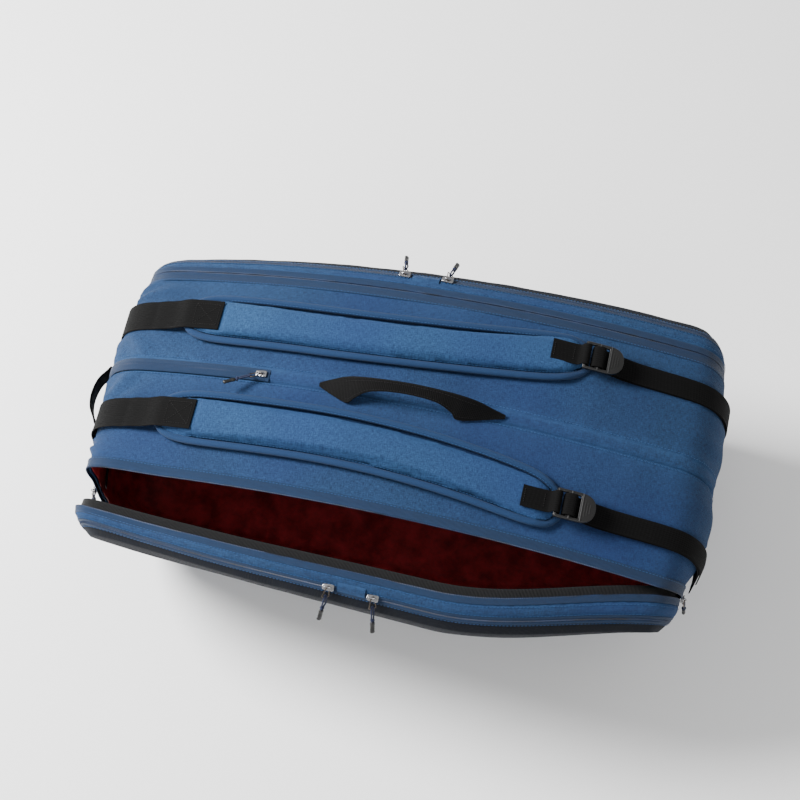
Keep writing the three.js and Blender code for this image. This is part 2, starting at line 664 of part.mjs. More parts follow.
const bag = new THREE.Group();
SIDES.forEach(([label, side]) => {
  addBodyShell(bag, label, side);
  addMainZip(bag, label, side);
  addHingeStrip(bag, label, side);
  addPad(bag, label, side);
  addAnchorWebbing(bag, label, side);
  addBuckleLoop(bag, label, side);
  addLadderLock(bag, label, side);
  addAdjustWebbing(bag, label, side);
  const cover = coverGroup(side, side === NEAR ? NEAR_OPEN_DEG : 0);
  addCover(cover, label, side);
  bag.add(cover);
});
addCentre(bag);
addCentreSlider(bag);
addMainSliders(bag);
addGrabHandle(bag);
addEndHandle(bag);
bag.position.copy(ORIGIN_SHIFT);

const model = new THREE.Group();
model.add(bag);
export default model;
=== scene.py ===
import math

import bmesh
import bpy
import numpy as np
from mathutils import Matrix, Vector, noise


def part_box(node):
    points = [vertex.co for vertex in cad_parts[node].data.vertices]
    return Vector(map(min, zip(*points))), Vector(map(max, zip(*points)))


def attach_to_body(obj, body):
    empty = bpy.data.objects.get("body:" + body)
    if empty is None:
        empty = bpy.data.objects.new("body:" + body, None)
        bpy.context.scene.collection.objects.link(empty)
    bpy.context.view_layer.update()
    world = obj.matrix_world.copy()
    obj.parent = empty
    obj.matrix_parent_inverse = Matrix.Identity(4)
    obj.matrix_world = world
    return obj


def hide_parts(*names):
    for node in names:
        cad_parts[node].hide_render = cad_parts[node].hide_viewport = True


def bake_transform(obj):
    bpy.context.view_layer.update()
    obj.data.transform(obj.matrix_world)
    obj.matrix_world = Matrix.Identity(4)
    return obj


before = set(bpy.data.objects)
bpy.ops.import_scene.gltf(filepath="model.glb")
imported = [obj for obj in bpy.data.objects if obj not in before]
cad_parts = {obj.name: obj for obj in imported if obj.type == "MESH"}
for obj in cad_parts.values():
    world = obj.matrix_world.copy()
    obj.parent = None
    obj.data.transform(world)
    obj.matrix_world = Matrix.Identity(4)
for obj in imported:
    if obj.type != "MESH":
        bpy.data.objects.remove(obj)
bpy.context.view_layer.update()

# Racket tournament bag lying on its front panels. Shapes are worked out in millimetres in the bag's
# own frame (+X racket heads, -Y open compartment, +Z strap side) and moved to the scene by to_row.
MM = 0.001
TAU = 2 * math.pi
FAR, NEAR = 1, -1
SIDES = (("far", FAR), ("near", NEAR))

# Side profile of the bag, as in the CAD model
HANDLE_END_X, HEAD_END_X = -372, 388
ARCH_TOP_Z, ARCH_RADIUS, ARCH_CENTRE_X = 330, 1250, 60
ARCH_START_X, ARCH_END_X = -318, 335
ARCH_CENTRE_Z = ARCH_TOP_Z - ARCH_RADIUS
WALL_TOP_HANDLE_Z, WALL_TOP_HEAD_Z = 205, 215
WALL_LOW_HANDLE_Z, WALL_LOW_HEAD_Z = 110, 115
MID_SEAM_Z = 158
FLAT_START_X, FLAT_END_X = -262, 270
ZIP_LOW_Z, ZIP_LOW_HANDLE_X, ZIP_LOW_HEAD_X = 40, -354, 369

# Across the bag
LIP_HALF_WIDTH, LIP_TAPER = 141, 0.022
OUTER_HALF_WIDTH, OUTER_TAPER = 184, 0.045
CENTRE_HALF_GAP = 8
CROWN_DROP, FRONT_LIFT, FRONT_FLAT_SHARE = 14, 26, 0.7
COVER_LIFT, COVER_EDGE_DROP, COVER_EDGE_LIFT = 38, 18, 17
COVER_DEPTH = OUTER_HALF_WIDTH - LIP_HALF_WIDTH
PANEL, WEBBING = 3, 1.5
BODY_COIL_OUT, COVER_COIL_OUT, COVER_LINING_OUT = 4.3, 6.3, 11.4
GUSSET_START, GUSSET_END, POCKET_ZIP_SHARE, LID_START = 0.3, 0.635, 0.69, 0.785
TAB_START, TAB_END, TAB_START_X, TAB_END_X = 0.5, 0.73, -22, 12

# The near cover hangs open about its low edge and stays zipped at the head end, where the soft
# side tucks in under the lip instead
HINGE_Z = 38
NEAR_OPEN = math.radians(15)
ZIPPED_X, FREE_X = 400, 90
LIP_Z = 284
HEAD_BULGE, BULGE_FROM_X, BULGE_REACH_X, BULGE_Z, BULGE_HALF_HEIGHT = 7, 300, 80, 215, 70
CORNER_OUT, CORNER_UP = 12, 12
CORNER_FROM_Z, CORNER_FULL_Z = 196, 242
CORNER_FROM_X, CORNER_REACH_X = -250, 120
CORNER_FROM_Y, CORNER_REACH_Y = -70, 90
COVER_CORNER_IN, COVER_CORNER_UP = 5, 2
COVER_CORNER_FROM_X, COVER_CORNER_REACH_X = -110, 250
COVER_WAIST = 0.42

# Pads, straps and handles
PAD_START_X, PAD_END_X = -284, 212
PAD_HALF_WIDTH, PAD_THICKNESS, PAD_LIFT = 32, 13, 1
WIDE_WEBBING, NARROW_WEBBING = 38, 26
STRAP_LIFT = 1.7
UNDER_ANCHOR_TO_X, UNDER_ADJUST_FROM_X, ANCHOR_SEWN_TO_X = -215, 240, -232
BUCKLE_X, BUCKLE_LIFT, BUCKLE_HALF_WIDTH = 206, 20, 18
PIVOT_HEIGHT = 3.6
PAD_SWELL, PAD_SIMULATION_STEPS = 5, 20
CENTRE_ZIP_PAST_ARCH, CENTRE_SLIDER_X, CENTRE_STITCH_Y = 163, -170, 11.5
POCKET_SLIDERS = ((-32, "handle", -0.12), (22, "head", 0.12))
END_HANDLE_Z, END_HANDLE_WIDTH = 200.5, 25

# Floor and light, in metres and watts
FLOOR_REACH = 6.0
WORLD_STRENGTH, KEY_POWER, FILL_POWER = 0.68, 240, 26

high_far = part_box("strap_panel_far")
low_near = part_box("strap_panel_near")
SHIFT = np.array([
    (high_far[0].x + high_far[1].x) / 2 / MM - (HANDLE_END_X + HEAD_END_X) / 2,
    (high_far[1].y + low_near[0].y) / 2 / MM,
    0.0,
])


def to_row(points):
    return (np.asarray(points, float) + SHIFT) * MM


def smooth(t):
    t = np.clip(t, 0, 1)
    return t * t * (3 - 2 * t)


# ------------------------------------------------------------------ profile and sheets

def arch_rise(x):
    return np.sqrt(ARCH_RADIUS ** 2 - (x - ARCH_CENTRE_X) ** 2)


def arch_height(x):
    return ARCH_CENTRE_Z + arch_rise(x)


def arch_slope(x):
    return -(x - ARCH_CENTRE_X) / arch_rise(x)


def lip_y(x):
    return LIP_HALF_WIDTH + LIP_TAPER * x


def outer_y(x):
    return OUTER_HALF_WIDTH + OUTER_TAPER * x


def surface_z(x, y):
    return arch_height(x) - CROWN_DROP * (np.abs(y) / lip_y(x)) ** 2


def pad_middle(x):
    """How far from the centre the shoulder pad's middle lies; it swings out towards the head end."""
    return 67 + 29 * np.clip((x + 120) / 320, 0, 1) ** 2


ANCHOR_Y = float(pad_middle(PAD_START_X))
ANCHOR_INNER_Y = ANCHOR_Y - WIDE_WEBBING / 2
BUCKLE_TILT = math.atan(arch_slope(BUCKLE_X + 20))
BUCKLE_Y = float(pad_middle(BUCKLE_X))
BUCKLE_SEAT = surface_z(BUCKLE_X, BUCKLE_Y - PAD_HALF_WIDTH / 2)
BUCKLE_ORIGIN = np.array([BUCKLE_X, BUCKLE_SEAT + BUCKLE_LIFT])


def bezier(start, control, end, count=40):
    t = np.linspace(0, 1, count)[:, None]
    start, control, end = (np.array(p, float) for p in (start, control, end))
    return start * (1 - t) ** 2 + 2 * control * t * (1 - t) + end * t * t


def tangent_corner(arch_x, wall_x):
    return (wall_x, arch_height(arch_x) + arch_slope(arch_x) * (wall_x - arch_x))


def profile_loop():
    """Dense closed outline of the bag's side, clockwise from the handle end's middle seam."""
    arch_x = np.linspace(ARCH_START_X, ARCH_END_X, 200)
    arch = np.stack([arch_x, arch_height(arch_x)], axis=1)
    pieces = [
        np.array([[HANDLE_END_X, MID_SEAM_Z]]),
        bezier((HANDLE_END_X, WALL_TOP_HANDLE_Z), tangent_corner(ARCH_START_X, HANDLE_END_X), arch[0]),
        arch[1:-1],
        bezier(arch[-1], tangent_corner(ARCH_END_X, HEAD_END_X), (HEAD_END_X, WALL_TOP_HEAD_Z)),
        np.array([[HEAD_END_X, MID_SEAM_Z]]),
        bezier((HEAD_END_X, WALL_LOW_HEAD_Z), (HEAD_END_X, 0), (FLAT_END_X, 0)),
        bezier((FLAT_START_X, 0), (HANDLE_END_X, 0), (HANDLE_END_X, WALL_LOW_HANDLE_Z)),
        np.array([[HANDLE_END_X, MID_SEAM_Z]]),
    ]
    return np.concatenate(pieces)


def path_length(points):
    steps = np.linalg.norm(np.diff(points, axis=0), axis=1)
    return np.concatenate([[0], np.cumsum(steps)])


def sampled(line, s, places):
    """The line's points at the given distances along it, where `s` is each point's own distance."""
    return np.stack([np.interp(places, s, line[:, k]) for k in range(line.shape[1])], axis=-1)


OUTLINE = profile_loop()
OUTLINE_S = path_length(OUTLINE)
LOOP_LENGTH = OUTLINE_S[-1]


def outline_at(s):
    return sampled(OUTLINE, OUTLINE_S, np.mod(s, LOOP_LENGTH))


def arc_mark(x, z):
    """Distance along the outline of its point nearest to x, z."""
    return OUTLINE_S[np.argmin(np.hypot(OUTLINE[:, 0] - x, OUTLINE[:, 1] - z))]


def arch_place(x):
    """Distance along the outline of the point on the arch above x."""
    on_arch = (OUTLINE[:, 0] >= ARCH_START_X) & (OUTLINE[:, 0] <= ARCH_END_X) & (OUTLINE[:, 1] > MID_SEAM_Z)
    return np.interp(x, OUTLINE[on_arch, 0], OUTLINE_S[on_arch])


S_HEAD_SEAM = arc_mark(HEAD_END_X, MID_SEAM_Z)
S_ARCH_START = arc_mark(ARCH_START_X, arch_height(ARCH_START_X))
S_ARCH_END = arc_mark(ARCH_END_X, arch_height(ARCH_END_X))
S_ZIP_HEAD = arc_mark(ZIP_LOW_HEAD_X, ZIP_LOW_Z)
S_ZIP_HANDLE = arc_mark(ZIP_LOW_HANDLE_X, ZIP_LOW_Z) - LOOP_LENGTH


class Rows:
    """Places along the outline, each with its inward normal (nx, nz) and its outward one."""

    def __init__(self, start, end, step=5, closed=False):
        count = max(2, int(round((end - start) / step)) + 1)
        self.s = np.linspace(start, end, count)
        if closed:
            self.s = self.s[:-1]
        self.closed = closed
        reach = 9
        here = outline_at(self.s)
        along = outline_at(self.s + reach) - outline_at(self.s - reach)
        along /= np.linalg.norm(along, axis=1)[:, None]
        self.x, self.z = here[:, 0], here[:, 1]
        self.nx, self.nz = along[:, 1], -along[:, 0]
        self.outward = np.stack([-self.nx, 0 * self.nx, -self.nz], axis=1)


def whole_loop(step=5):
    return Rows(0, LOOP_LENGTH, step, closed=True)


def lay(rows, y_at, top, low, lift=0.0):
    """Points over the profile: y_at(x) is the place across; top and low are the insets."""
    share = (1 - smooth(rows.z / MID_SEAM_Z))[:, None]
    inset = top + (low - top) * share - lift
    x = rows.x[:, None] + rows.nx[:, None] * inset
    z = rows.z[:, None] + rows.nz[:, None] * inset
    y = np.broadcast_to(y_at(x), x.shape)
    return np.stack([x, y, z], axis=2)


def front_rise(share):
    return FRONT_LIFT * np.clip((share - FRONT_FLAT_SHARE) / (1 - FRONT_FLAT_SHARE), 0, None)


def body_sheet(rows, shares, lift=0.0):
    shares = np.asarray(shares, float)
    y_at = lambda x: CENTRE_HALF_GAP + (lip_y(x) - CENTRE_HALF_GAP) * shares
    return lay(rows, y_at, CROWN_DROP * shares ** 2, front_rise(shares), lift)


def lip_sheet(rows, offsets, lift=0.0):
    offsets = np.asarray(offsets, float)
    shares = np.minimum(1, 1 + offsets / (LIP_HALF_WIDTH - CENTRE_HALF_GAP))
    return lay(rows, lambda x: lip_y(x) + offsets, CROWN_DROP * shares ** 2, front_rise(shares), lift)


def cover_sheet(rows, shares, lift=0.0, offsets=0.0):
    shares = np.asarray(shares, float)
    y_at = lambda x: lip_y(x) + offsets + (outer_y(x) - lip_y(x)) * shares
    depth = shares + np.asarray(offsets, float) / COVER_DEPTH
    top = CROWN_DROP + COVER_EDGE_DROP * np.clip(depth, 0, None) ** 2.5
    return lay(rows, y_at, top, COVER_LIFT + COVER_EDGE_LIFT * depth, lift)


def noise_at(x, y, scale, seed=0.0):
    """Smooth noise from -1 to 1, of that scale in millimetres."""
    flat_x, flat_y = np.broadcast_arrays(np.asarray(x, float), np.asarray(y, float))
    pairs = zip(flat_x.ravel() / scale, flat_y.ravel() / scale)
    values = [noise.noise(Vector((a, b, seed))) for a, b in pairs]
    return np.array(values).reshape(flat_x.shape)


# ------------------------------------------------------------------ shapes: (points, faces, cloth)
# `cloth` holds each point's place along and across the cloth in metres, and how near an edge it is.

def skin(grid, cloth, wrap_rows=False, wrap_columns=False, fan_ends=False):
    """A surface through a grid of points, closed round its rows or columns as asked."""
    rows, columns = grid.shape[:2]
    index = np.arange(rows * columns).reshape(rows, columns)
    if wrap_rows:
        index = np.concatenate([index, index[:1]], axis=0)
    if wrap_columns:
        index = np.concatenate([index, index[:, :1]], axis=1)
    quads = np.stack([index[:-1, :-1], index[1:, :-1], index[1:, 1:], index[:-1, 1:]], axis=-1)
    faces = quads.reshape(-1, 4).tolist()
    points = grid.reshape(-1, 3)
    coords = np.broadcast_to(cloth, grid.shape).reshape(-1, 3)
    if fan_ends:
        for edge, turn in ((index[:, 0], 1), (index[:, -1], -1)):
            centre = len(points)
            points = np.vstack([points, points[edge[:-1]].mean(axis=0)])
            coords = np.vstack([coords, coords[edge[:-1]].mean(axis=0)])
            faces += [[int(a), int(b), centre][::turn] for a, b in zip(edge[:-1], edge[1:])]
    return points, faces, coords


def thick(outer, inner, cloth, closed=False):
    """A closed cloth wall between two grids, with rounded long edges."""
    def rim(column, beside):
        middle = (outer[:, column] + inner[:, column]) / 2
        away = outer[:, column] - outer[:, beside]
        away /= np.maximum(np.linalg.norm(away, axis=1), 1e-6)[:, None]
        reach = np.linalg.norm(outer[:, column] - inner[:, column], axis=1)[:, None] * 0.4
        return (middle + away * reach)[:, None]

    loop = np.concatenate([outer, rim(-1, -2), inner[:, ::-1], rim(0, 1)], axis=1)
    coords = np.concatenate([cloth, cloth[:, -1:], cloth[:, ::-1], cloth[:, :1]], axis=1)
    points, faces, coords = skin(loop, coords, wrap_rows=closed, wrap_columns=True)
    if not closed:
        width, total = outer.shape[1], loop.shape[1]
        for row, turn in ((0, 1), (loop.shape[0] - 1, -1)):
            at = lambda j: row * total + j % total
            for j in range(width - 1):
                faces.append([at(j), at(j + 1), at(total - 3 - j), at(total - 2 - j)][::turn])
            faces.append([at(width - 1), at(width), at(width + 1)][::turn])
            faces.append([at(0), at(total - 2), at(total - 1)][::turn])
    return points, faces, coords


def merge(shapes):
    points, faces, coords, start = [], [], [], 0
    for shape in shapes:
        points.append(shape[0])
        faces += [[int(i) + start for i in face] for face in shape[1]]
        coords.append(shape[2])
        start += len(shape[0])
    return np.vstack(points), faces, np.vstack(coords)


def mirrored(shape, side):
    return shape[0] * np.array([1, side, 1]), shape[1], shape[2]


def moved(shape, basis, origin):
    """The shape turned so that its x, y, z run along the rows of `basis`, then moved to `origin`."""
    return shape[0] @ np.asarray(basis, float) + np.asarray(origin, float), shape[1], shape[2]


def unit(v):
    v = np.asarray(v, float)
    return v / np.linalg.norm(v, axis=-1, keepdims=True)


def through(points, step=2.0, closed=False):
    """A smooth line through given points, with even steps."""
    p = np.asarray(points, float)
    if closed:
        p = np.vstack([p[-1], p, p[0], p[1]])
    else:
        p = np.vstack([2 * p[0] - p[1], p, 2 * p[-1] - p[-2]])
    t = np.linspace(0, 1, 16, endpoint=False)[:, None]
    line = []
    for a, b, c, d in zip(p[:-3], p[1:-2], p[2:-1], p[3:]):
        line.append(0.5 * (2 * b + (c - a) * t + (2 * a - 5 * b + 4 * c - d) * t ** 2
                           + (3 * b - a - 3 * c + d) * t ** 3))
    line = np.vstack(line + [p[-2][None]])
    s = path_length(line)
    even = np.linspace(0, s[-1], max(3, int(round(s[-1] / step)) + 1))
    return sampled(line, s, even)


def tangents(path, closed=False):
    if closed:
        return unit(np.roll(path, -1, axis=0) - np.roll(path, 1, axis=0))
    return unit(np.gradient(path, axis=0))


def tube(path, radius, sides=8, closed=False, squash_to=1.0, up=(0, 0, 1)):
    """A round or flattened tube along a path; `up` is the way it is flattened."""
    path = np.asarray(path, float)
    along = tangents(path, closed)
    side_way = np.cross(np.asarray(up, float), along)
    weak = np.linalg.norm(side_way, axis=1) < 1e-3
    side_way[weak] = np.cross(np.array([0, 1.0, 0.01]), along[weak])
    side_way = unit(side_way)
    top_way = np.cross(along, side_way)
    turn = np.linspace(0, TAU, sides, endpoint=False)
    radius = np.broadcast_to(np.asarray(radius, float), (len(path),))[:, None, None]
    ring = side_way[:, None] * np.cos(turn)[None, :, None]
    ring = ring + top_way[:, None] * np.sin(turn)[None, :, None] * squash_to
    grid = path[:, None] + ring * radius
    cloth = np.zeros(grid.shape)
    cloth[..., 0] = path_length(path)[:, None] * MM
    cloth[..., 1] = (turn / TAU)[None] * float(radius.mean()) * TAU * MM
    if closed:
        return skin(grid, cloth, wrap_rows=True, wrap_columns=True)
    return skin(grid.swapaxes(0, 1), cloth.swapaxes(0, 1), wrap_rows=True, fan_ends=True)


def ribbon(path, across, width, thickness=WEBBING, columns=5):
    """A flat strap along a path; `across` is the direction of its width at each point."""
    path = np.asarray(path, float)
    along = tangents(path)
    across = np.broadcast_to(np.asarray(across, float), path.shape)
    across = unit(across - along * (across * along).sum(axis=1)[:, None])
    normal = np.cross(along, across)
    places = np.linspace(-0.5, 0.5, columns)
    width = np.broadcast_to(np.asarray(width, float), (len(path),))[:, None, None]
    middle = path[:, None] + across[:, None] * places[None, :, None] * width
    lift = normal[:, None] * thickness / 2
    cloth = np.zeros(middle.shape)
    cloth[..., 0] = path_length(path)[:, None] * MM
    cloth[..., 1] = (places * float(width.mean()))[None] * MM
    cloth[..., 2] = (np.abs(places) > 0.49)[None]
    return thick(middle + lift, middle - lift, cloth)


def capsule_template():
    """One stitch of unit length and radius, along x."""
    turn = np.linspace(0, TAU, 5, endpoint=False)
    rings = [(-0.35, 0.8), (0, 1.0), (0.35, 0.8)]
    points = [[-0.5, 0, 0]]
    points += [[x, r * math.cos(a), r * math.sin(a)] for x, r in rings for a in turn]
    points.append([0.5, 0, 0])
    faces = [[0, 1 + (j + 1) % 5, 1 + j] for j in range(5)]
    for ring in range(2):
        start = 1 + 5 * ring
        faces += [[start + j, start + (j + 1) % 5, start + 5 + (j + 1) % 5, start + 5 + j] for j in range(5)]
    faces += [[16, 11 + j, 11 + (j + 1) % 5] for j in range(5)]
    return np.array(points, float), faces


STITCH_POINTS, STITCH_FACES = capsule_template()


def stitches(path, pitch=4.2, length=3.2, radius=0.42, up=(0, 0, 1)):
    """A row of thread stitches lying along a path."""
    path = np.asarray(path, float)
    s = path_length(path)
    count = max(1, int(s[-1] / pitch))
    at = (np.arange(count) + 0.5) * s[-1] / count
    way = tangents(path)
    centre, along = sampled(path, s, at), unit(sampled(way, s, at))
    normal = sampled(np.broadcast_to(np.asarray(up, float), path.shape), s, at)
    side_way = unit(np.cross(normal, along))
    normal = np.cross(along, side_way)
    local = STITCH_POINTS * np.array([length, radius, radius * 0.8])
    points = (centre[:, None] + along[:, None] * local[None, :, :1]
              + side_way[:, None] * local[None, :, 1:2] + normal[:, None] * local[None, :, 2:])
    faces = [[i + k * len(local) for i in face] for k in range(count) for face in STITCH_FACES]
    coords = np.broadcast_to(local * MM, points.shape)
    return points.reshape(-1, 3), faces, coords.reshape(-1, 3)


# ------------------------------------------------------------------ bends that soft shapes share

def zipped_share(x):
    """1 where the near cover is zipped shut at the head end, 0 where it is free."""
    return 1 - smooth((ZIPPED_X - x) / (ZIPPED_X - FREE_X))


def top_swing():
    """How far the cover's top edge stands out where it is free."""
    return (LIP_Z - HINGE_Z) * math.sin(NEAR_OPEN)


def bent_open(shape, side):
    """A near cover shape, made closed, turned out about its low edge and drawn in at the head end."""
    if side == FAR:
        return shape
    arm = shape[0] - np.array([0, -LIP_HALF_WIDTH, HINGE_Z])
    axis = unit(np.array([1, -LIP_TAPER, 0]))
    cos, sin = math.cos(NEAR_OPEN), math.sin(NEAR_OPEN)
    turned = arm * cos + np.cross(axis, arm) * sin + axis * (arm @ axis)[:, None] * (1 - cos)
    points = turned + np.array([0, -LIP_HALF_WIDTH, HINGE_Z])
    points[:, 1] += top_swing() * zipped_share(shape[0][:, 0])
    height = smooth((points[:, 2] - CORNER_FROM_Z) / (CORNER_FULL_Z - CORNER_FROM_Z))
    corner = smooth((COVER_CORNER_FROM_X - points[:, 0]) / COVER_CORNER_REACH_X) * height
    points[:, 1] += COVER_CORNER_IN * corner
    points[:, 2] += COVER_CORNER_UP * corner
    return points, shape[1], shape[2]


def waisted(shape):
    """A cover shape drawn in towards its low edge, so that the stuffed pocket hangs from its top."""
    points = shape[0].copy()
    height = np.clip((points[:, 2] - HINGE_Z) / (LIP_Z - HINGE_Z), 0, 1)
    lip = lip_y(points[:, 0])
    points[:, 1] = lip + (points[:, 1] - lip) * (1 - COVER_WAIST * (1 - height))
    return points, shape[1], shape[2]


def tucked(shape, side):
    """A body shape on its side; the near head corner is drawn in under the lip, to meet the cover."""
    shape = mirrored(shape, side)
    if side == FAR:
        return shape
    points = shape[0].copy()
    height = np.clip((points[:, 2] - HINGE_Z) / (LIP_Z - HINGE_Z), 0, 1)
    reach = smooth(-points[:, 1] / LIP_HALF_WIDTH)
    points[:, 1] += top_swing() * zipped_share(points[:, 0]) * (1 - height) * reach
    return points, shape[1], shape[2]


def cornered(points):
    """The near handle-end corner stands out and up a little, as slack cloth does."""
    share = smooth((CORNER_FROM_X - points[:, 0]) / CORNER_REACH_X)
    share = share * smooth((CORNER_FROM_Y - points[:, 1]) / CORNER_REACH_Y)
    height = smooth((points[:, 2] - CORNER_FROM_Z) / (CORNER_FULL_Z - CORNER_FROM_Z))
    points = points.copy()
    points[:, 0] -= CORNER_OUT * share * height
    points[:, 2] += CORNER_UP * share * height
    return points


def bulged(points):
    """The head end's cloth stands a little proud between its seams."""
    out = HEAD_BULGE * smooth((points[:, 0] - BULGE_FROM_X) / BULGE_REACH_X)
    out = out * np.exp(-((points[:, 2] - BULGE_Z) / BULGE_HALF_HEIGHT) ** 2)
    points = points.copy()
    points[:, 0] += out * smooth(np.abs(points[:, 1]) / 90 + 0.35) * smooth((points[:, 1] + 124) / 36)
    return points


# ------------------------------------------------------------------ materials

def srgb(red, green, blue):
    def linear(value):
        value /= 255
        return value / 12.92 if value <= 0.04045 else ((value + 0.055) / 1.055) ** 2.4
    return (linear(red), linear(green), linear(blue), 1)


SHEEN_BLUE = srgb(96, 150, 214)
# Violet for the fabric's purplish look away from the light: painted shade, laid in random patches by woven().
VIOLET_PAINTED_SHADE = srgb(22, 36, 92)


class Graph:
    """A short way to write a material's nodes."""

    def __init__(self, name):
        self.material = bpy.data.materials.new(name)
        self.material.use_nodes = True
        self.nodes = self.material.node_tree.nodes
        self.links = self.material.node_tree.links
        self.shader = self.nodes["Principled BSDF"]
        attribute = self.nodes.new("ShaderNodeAttribute")
        attribute.attribute_name = "cloth"
        split = self.nodes.new("ShaderNodeSeparateXYZ")
        self.links.new(attribute.outputs["Vector"], split.inputs[0])
        self.place = attribute.outputs["Vector"]
        self.along, self.across, self.edge = split.outputs
        position = self.nodes.new("ShaderNodeTexCoord")
        self.object_place = position.outputs["Object"]

    def put(self, socket, value):
        if isinstance(value, bpy.types.NodeSocket):
            self.links.new(value, socket)
        else:
            socket.default_value = value

    def math(self, operation, a, b=0.0, clamp=False):
        node = self.nodes.new("ShaderNodeMath")
        node.operation = operation
        node.use_clamp = clamp
        self.put(node.inputs[0], a)
        self.put(node.inputs[1], b)
        return node.outputs[0]

    def wave(self, value, pitch):
        """Sine of a length in metres, with its pitch in millimetres."""
        return self.math("SINE", self.math("MULTIPLY", value, TAU / (pitch * MM)))

    def scaled(self, vector, scales):
        node = self.nodes.new("ShaderNodeVectorMath")
        node.operation = "MULTIPLY"
        self.links.new(vector, node.inputs[0])
        node.inputs[1].default_value = scales
        return node.outputs[0]

    def noise(self, vector, scale, detail=2.0, roughness=0.5):
        node = self.nodes.new("ShaderNodeTexNoise")
        self.links.new(vector, node.inputs["Vector"])
        node.inputs["Scale"].default_value = scale
        node.inputs["Detail"].default_value = detail
        node.inputs["Roughness"].default_value = roughness
        return node.outputs["Fac"]

    def mix(self, factor, a, b):
        node = self.nodes.new("ShaderNodeMix")
        node.data_type = "RGBA"
        self.put(node.inputs[0], factor)
        self.put(node.inputs[6], a)
        self.put(node.inputs[7], b)
        return node.outputs[2]

    def spread(self, value, low, high):
        """Stretches value so that low gives 0 and high gives 1."""
        node = self.nodes.new("ShaderNodeMapRange")
        self.put(node.inputs[0], value)
        node.inputs[1].default_value = low
        node.inputs[2].default_value = high
        return node.outputs[0]

    def bump(self, height, distance, strength=1.0):
        node = self.nodes.new("ShaderNodeBump")
        node.inputs["Strength"].default_value = strength
        node.inputs["Distance"].default_value = distance * MM
        self.links.new(height, node.inputs["Height"])
        self.links.new(node.outputs[0], self.shader.inputs["Normal"])

    def set(self, **values):
        for key, value in values.items():
            self.put(self.shader.inputs[key.replace("_", " ")], value)


def woven(name, dark, middle, light, cast, pitch=1.1, roughness=0.8, sheen=0.12, grain=1.0, depth=0.35):
    """Plain weave of mixed yarns: streaks along both threads, patches of `cast` as a painted shade tint,
    paler worn edges.
    """
    g = Graph(name)
    warp = g.noise(g.scaled(g.place, (170, 1100, 1)), 1.0, 2.0, 0.65)
    weft = g.noise(g.scaled(g.place, (1100, 170, 1)), 1.0, 2.0, 0.65)
    yarn = g.spread(g.math("ADD", warp, weft), 1 - 0.32 / grain, 1 + 0.32 / grain)
    colour = g.mix(yarn, dark, light)
    colour = g.mix(0.35, colour, middle)
    patch = g.spread(g.noise(g.object_place, 7.0, 3.0, 0.55), 0.3, 0.7)
    colour = g.mix(g.math("MULTIPLY", patch, 0.3), colour, dark)
    # Painted shade: random patches turned toward `cast`, the violet the shimmering fabric shows away from the
    # light.
    violet_shade_patches = g.spread(g.noise(g.object_place, 3.1, 2.0), 0.42, 0.68)
    colour = g.mix(g.math("MULTIPLY", violet_shade_patches, 0.4), colour, cast)
    worn = g.math("MULTIPLY", g.edge, g.noise(g.object_place, 60.0), clamp=True)
    colour = g.mix(g.math("MULTIPLY", worn, 0.5), colour, light)
    threads = g.math("MULTIPLY", g.wave(g.along, pitch), g.wave(g.across, pitch))
    height = g.math("ADD", g.math("MULTIPLY", threads, 0.5), yarn)
    g.set(Base_Color=colour, Specular_IOR_Level=0.2)
    g.set(Sheen_Weight=sheen, Sheen_Roughness=0.4, Sheen_Tint=SHEEN_BLUE)
    g.put(g.shader.inputs["Roughness"], g.math("ADD", g.math("MULTIPLY", yarn, 0.12), roughness - 0.06))
    g.bump(height, depth)
    return g.material


def ribbed(
    name, dark, light, rib, cross, roughness, along_ribs=False, depth=0.35, sheen=0.06, gloss=0.2,
):
    """Tape or webbing: ribs one way, finer picks the other."""
    g = Graph(name)
    first, second = (g.across, g.along) if along_ribs else (g.along, g.across)
    ribs = g.spread(g.wave(first, rib), -1, 1)
    picks = g.spread(g.wave(second, cross), -1, 1)
    grain = g.noise(g.scaled(g.place, (900, 900, 1)), 1.0, 3.0)
    relief = g.math("ADD", g.math("MULTIPLY", ribs, 0.6), g.math("MULTIPLY", picks, 0.25))
    tone = g.math("MULTIPLY", relief, grain)
    colour = g.mix(g.spread(tone, 0.05, 0.6), dark, light)
    patch = g.spread(g.noise(g.object_place, 11.0, 2.0), 0.35, 0.7)
    colour = g.mix(g.math("MULTIPLY", patch, 0.2), colour, dark)
    worn = g.math("MULTIPLY", g.edge, g.noise(g.object_place, 90.0), clamp=True)
    colour = g.mix(g.math("MULTIPLY", worn, 0.45), colour, light)
    g.set(Base_Color=colour, Sheen_Weight=sheen, Specular_IOR_Level=gloss)
    g.put(g.shader.inputs["Roughness"], g.math("ADD", g.math("MULTIPLY", grain, 0.14), roughness - 0.07))
    g.bump(g.math("ADD", ribs, g.math("MULTIPLY", picks, 0.4)), depth)
    return g.material


def slick(name, dark, light, roughness, coat=0.0, fold=0.4, metallic=0.0):
    """Smooth coated cloth or moulded plastic: faint grain, soft crinkles and uneven gloss."""
    g = Graph(name)
    crinkle = g.noise(g.object_place, 45.0, 4.0, 0.6)
    fine = g.noise(g.object_place, 900.0, 2.0)
    colour = g.mix(g.spread(crinkle, 0.35, 0.65), dark, light)
    g.set(Base_Color=colour, Metallic=metallic, Coat_Weight=coat)
    g.put(g.shader.inputs["Roughness"], g.math("ADD", g.math("MULTIPLY", fine, 0.16), roughness - 0.08))
    g.bump(g.math("ADD", crinkle, g.math("MULTIPLY", fine, 0.1)), fold)
    return g.material


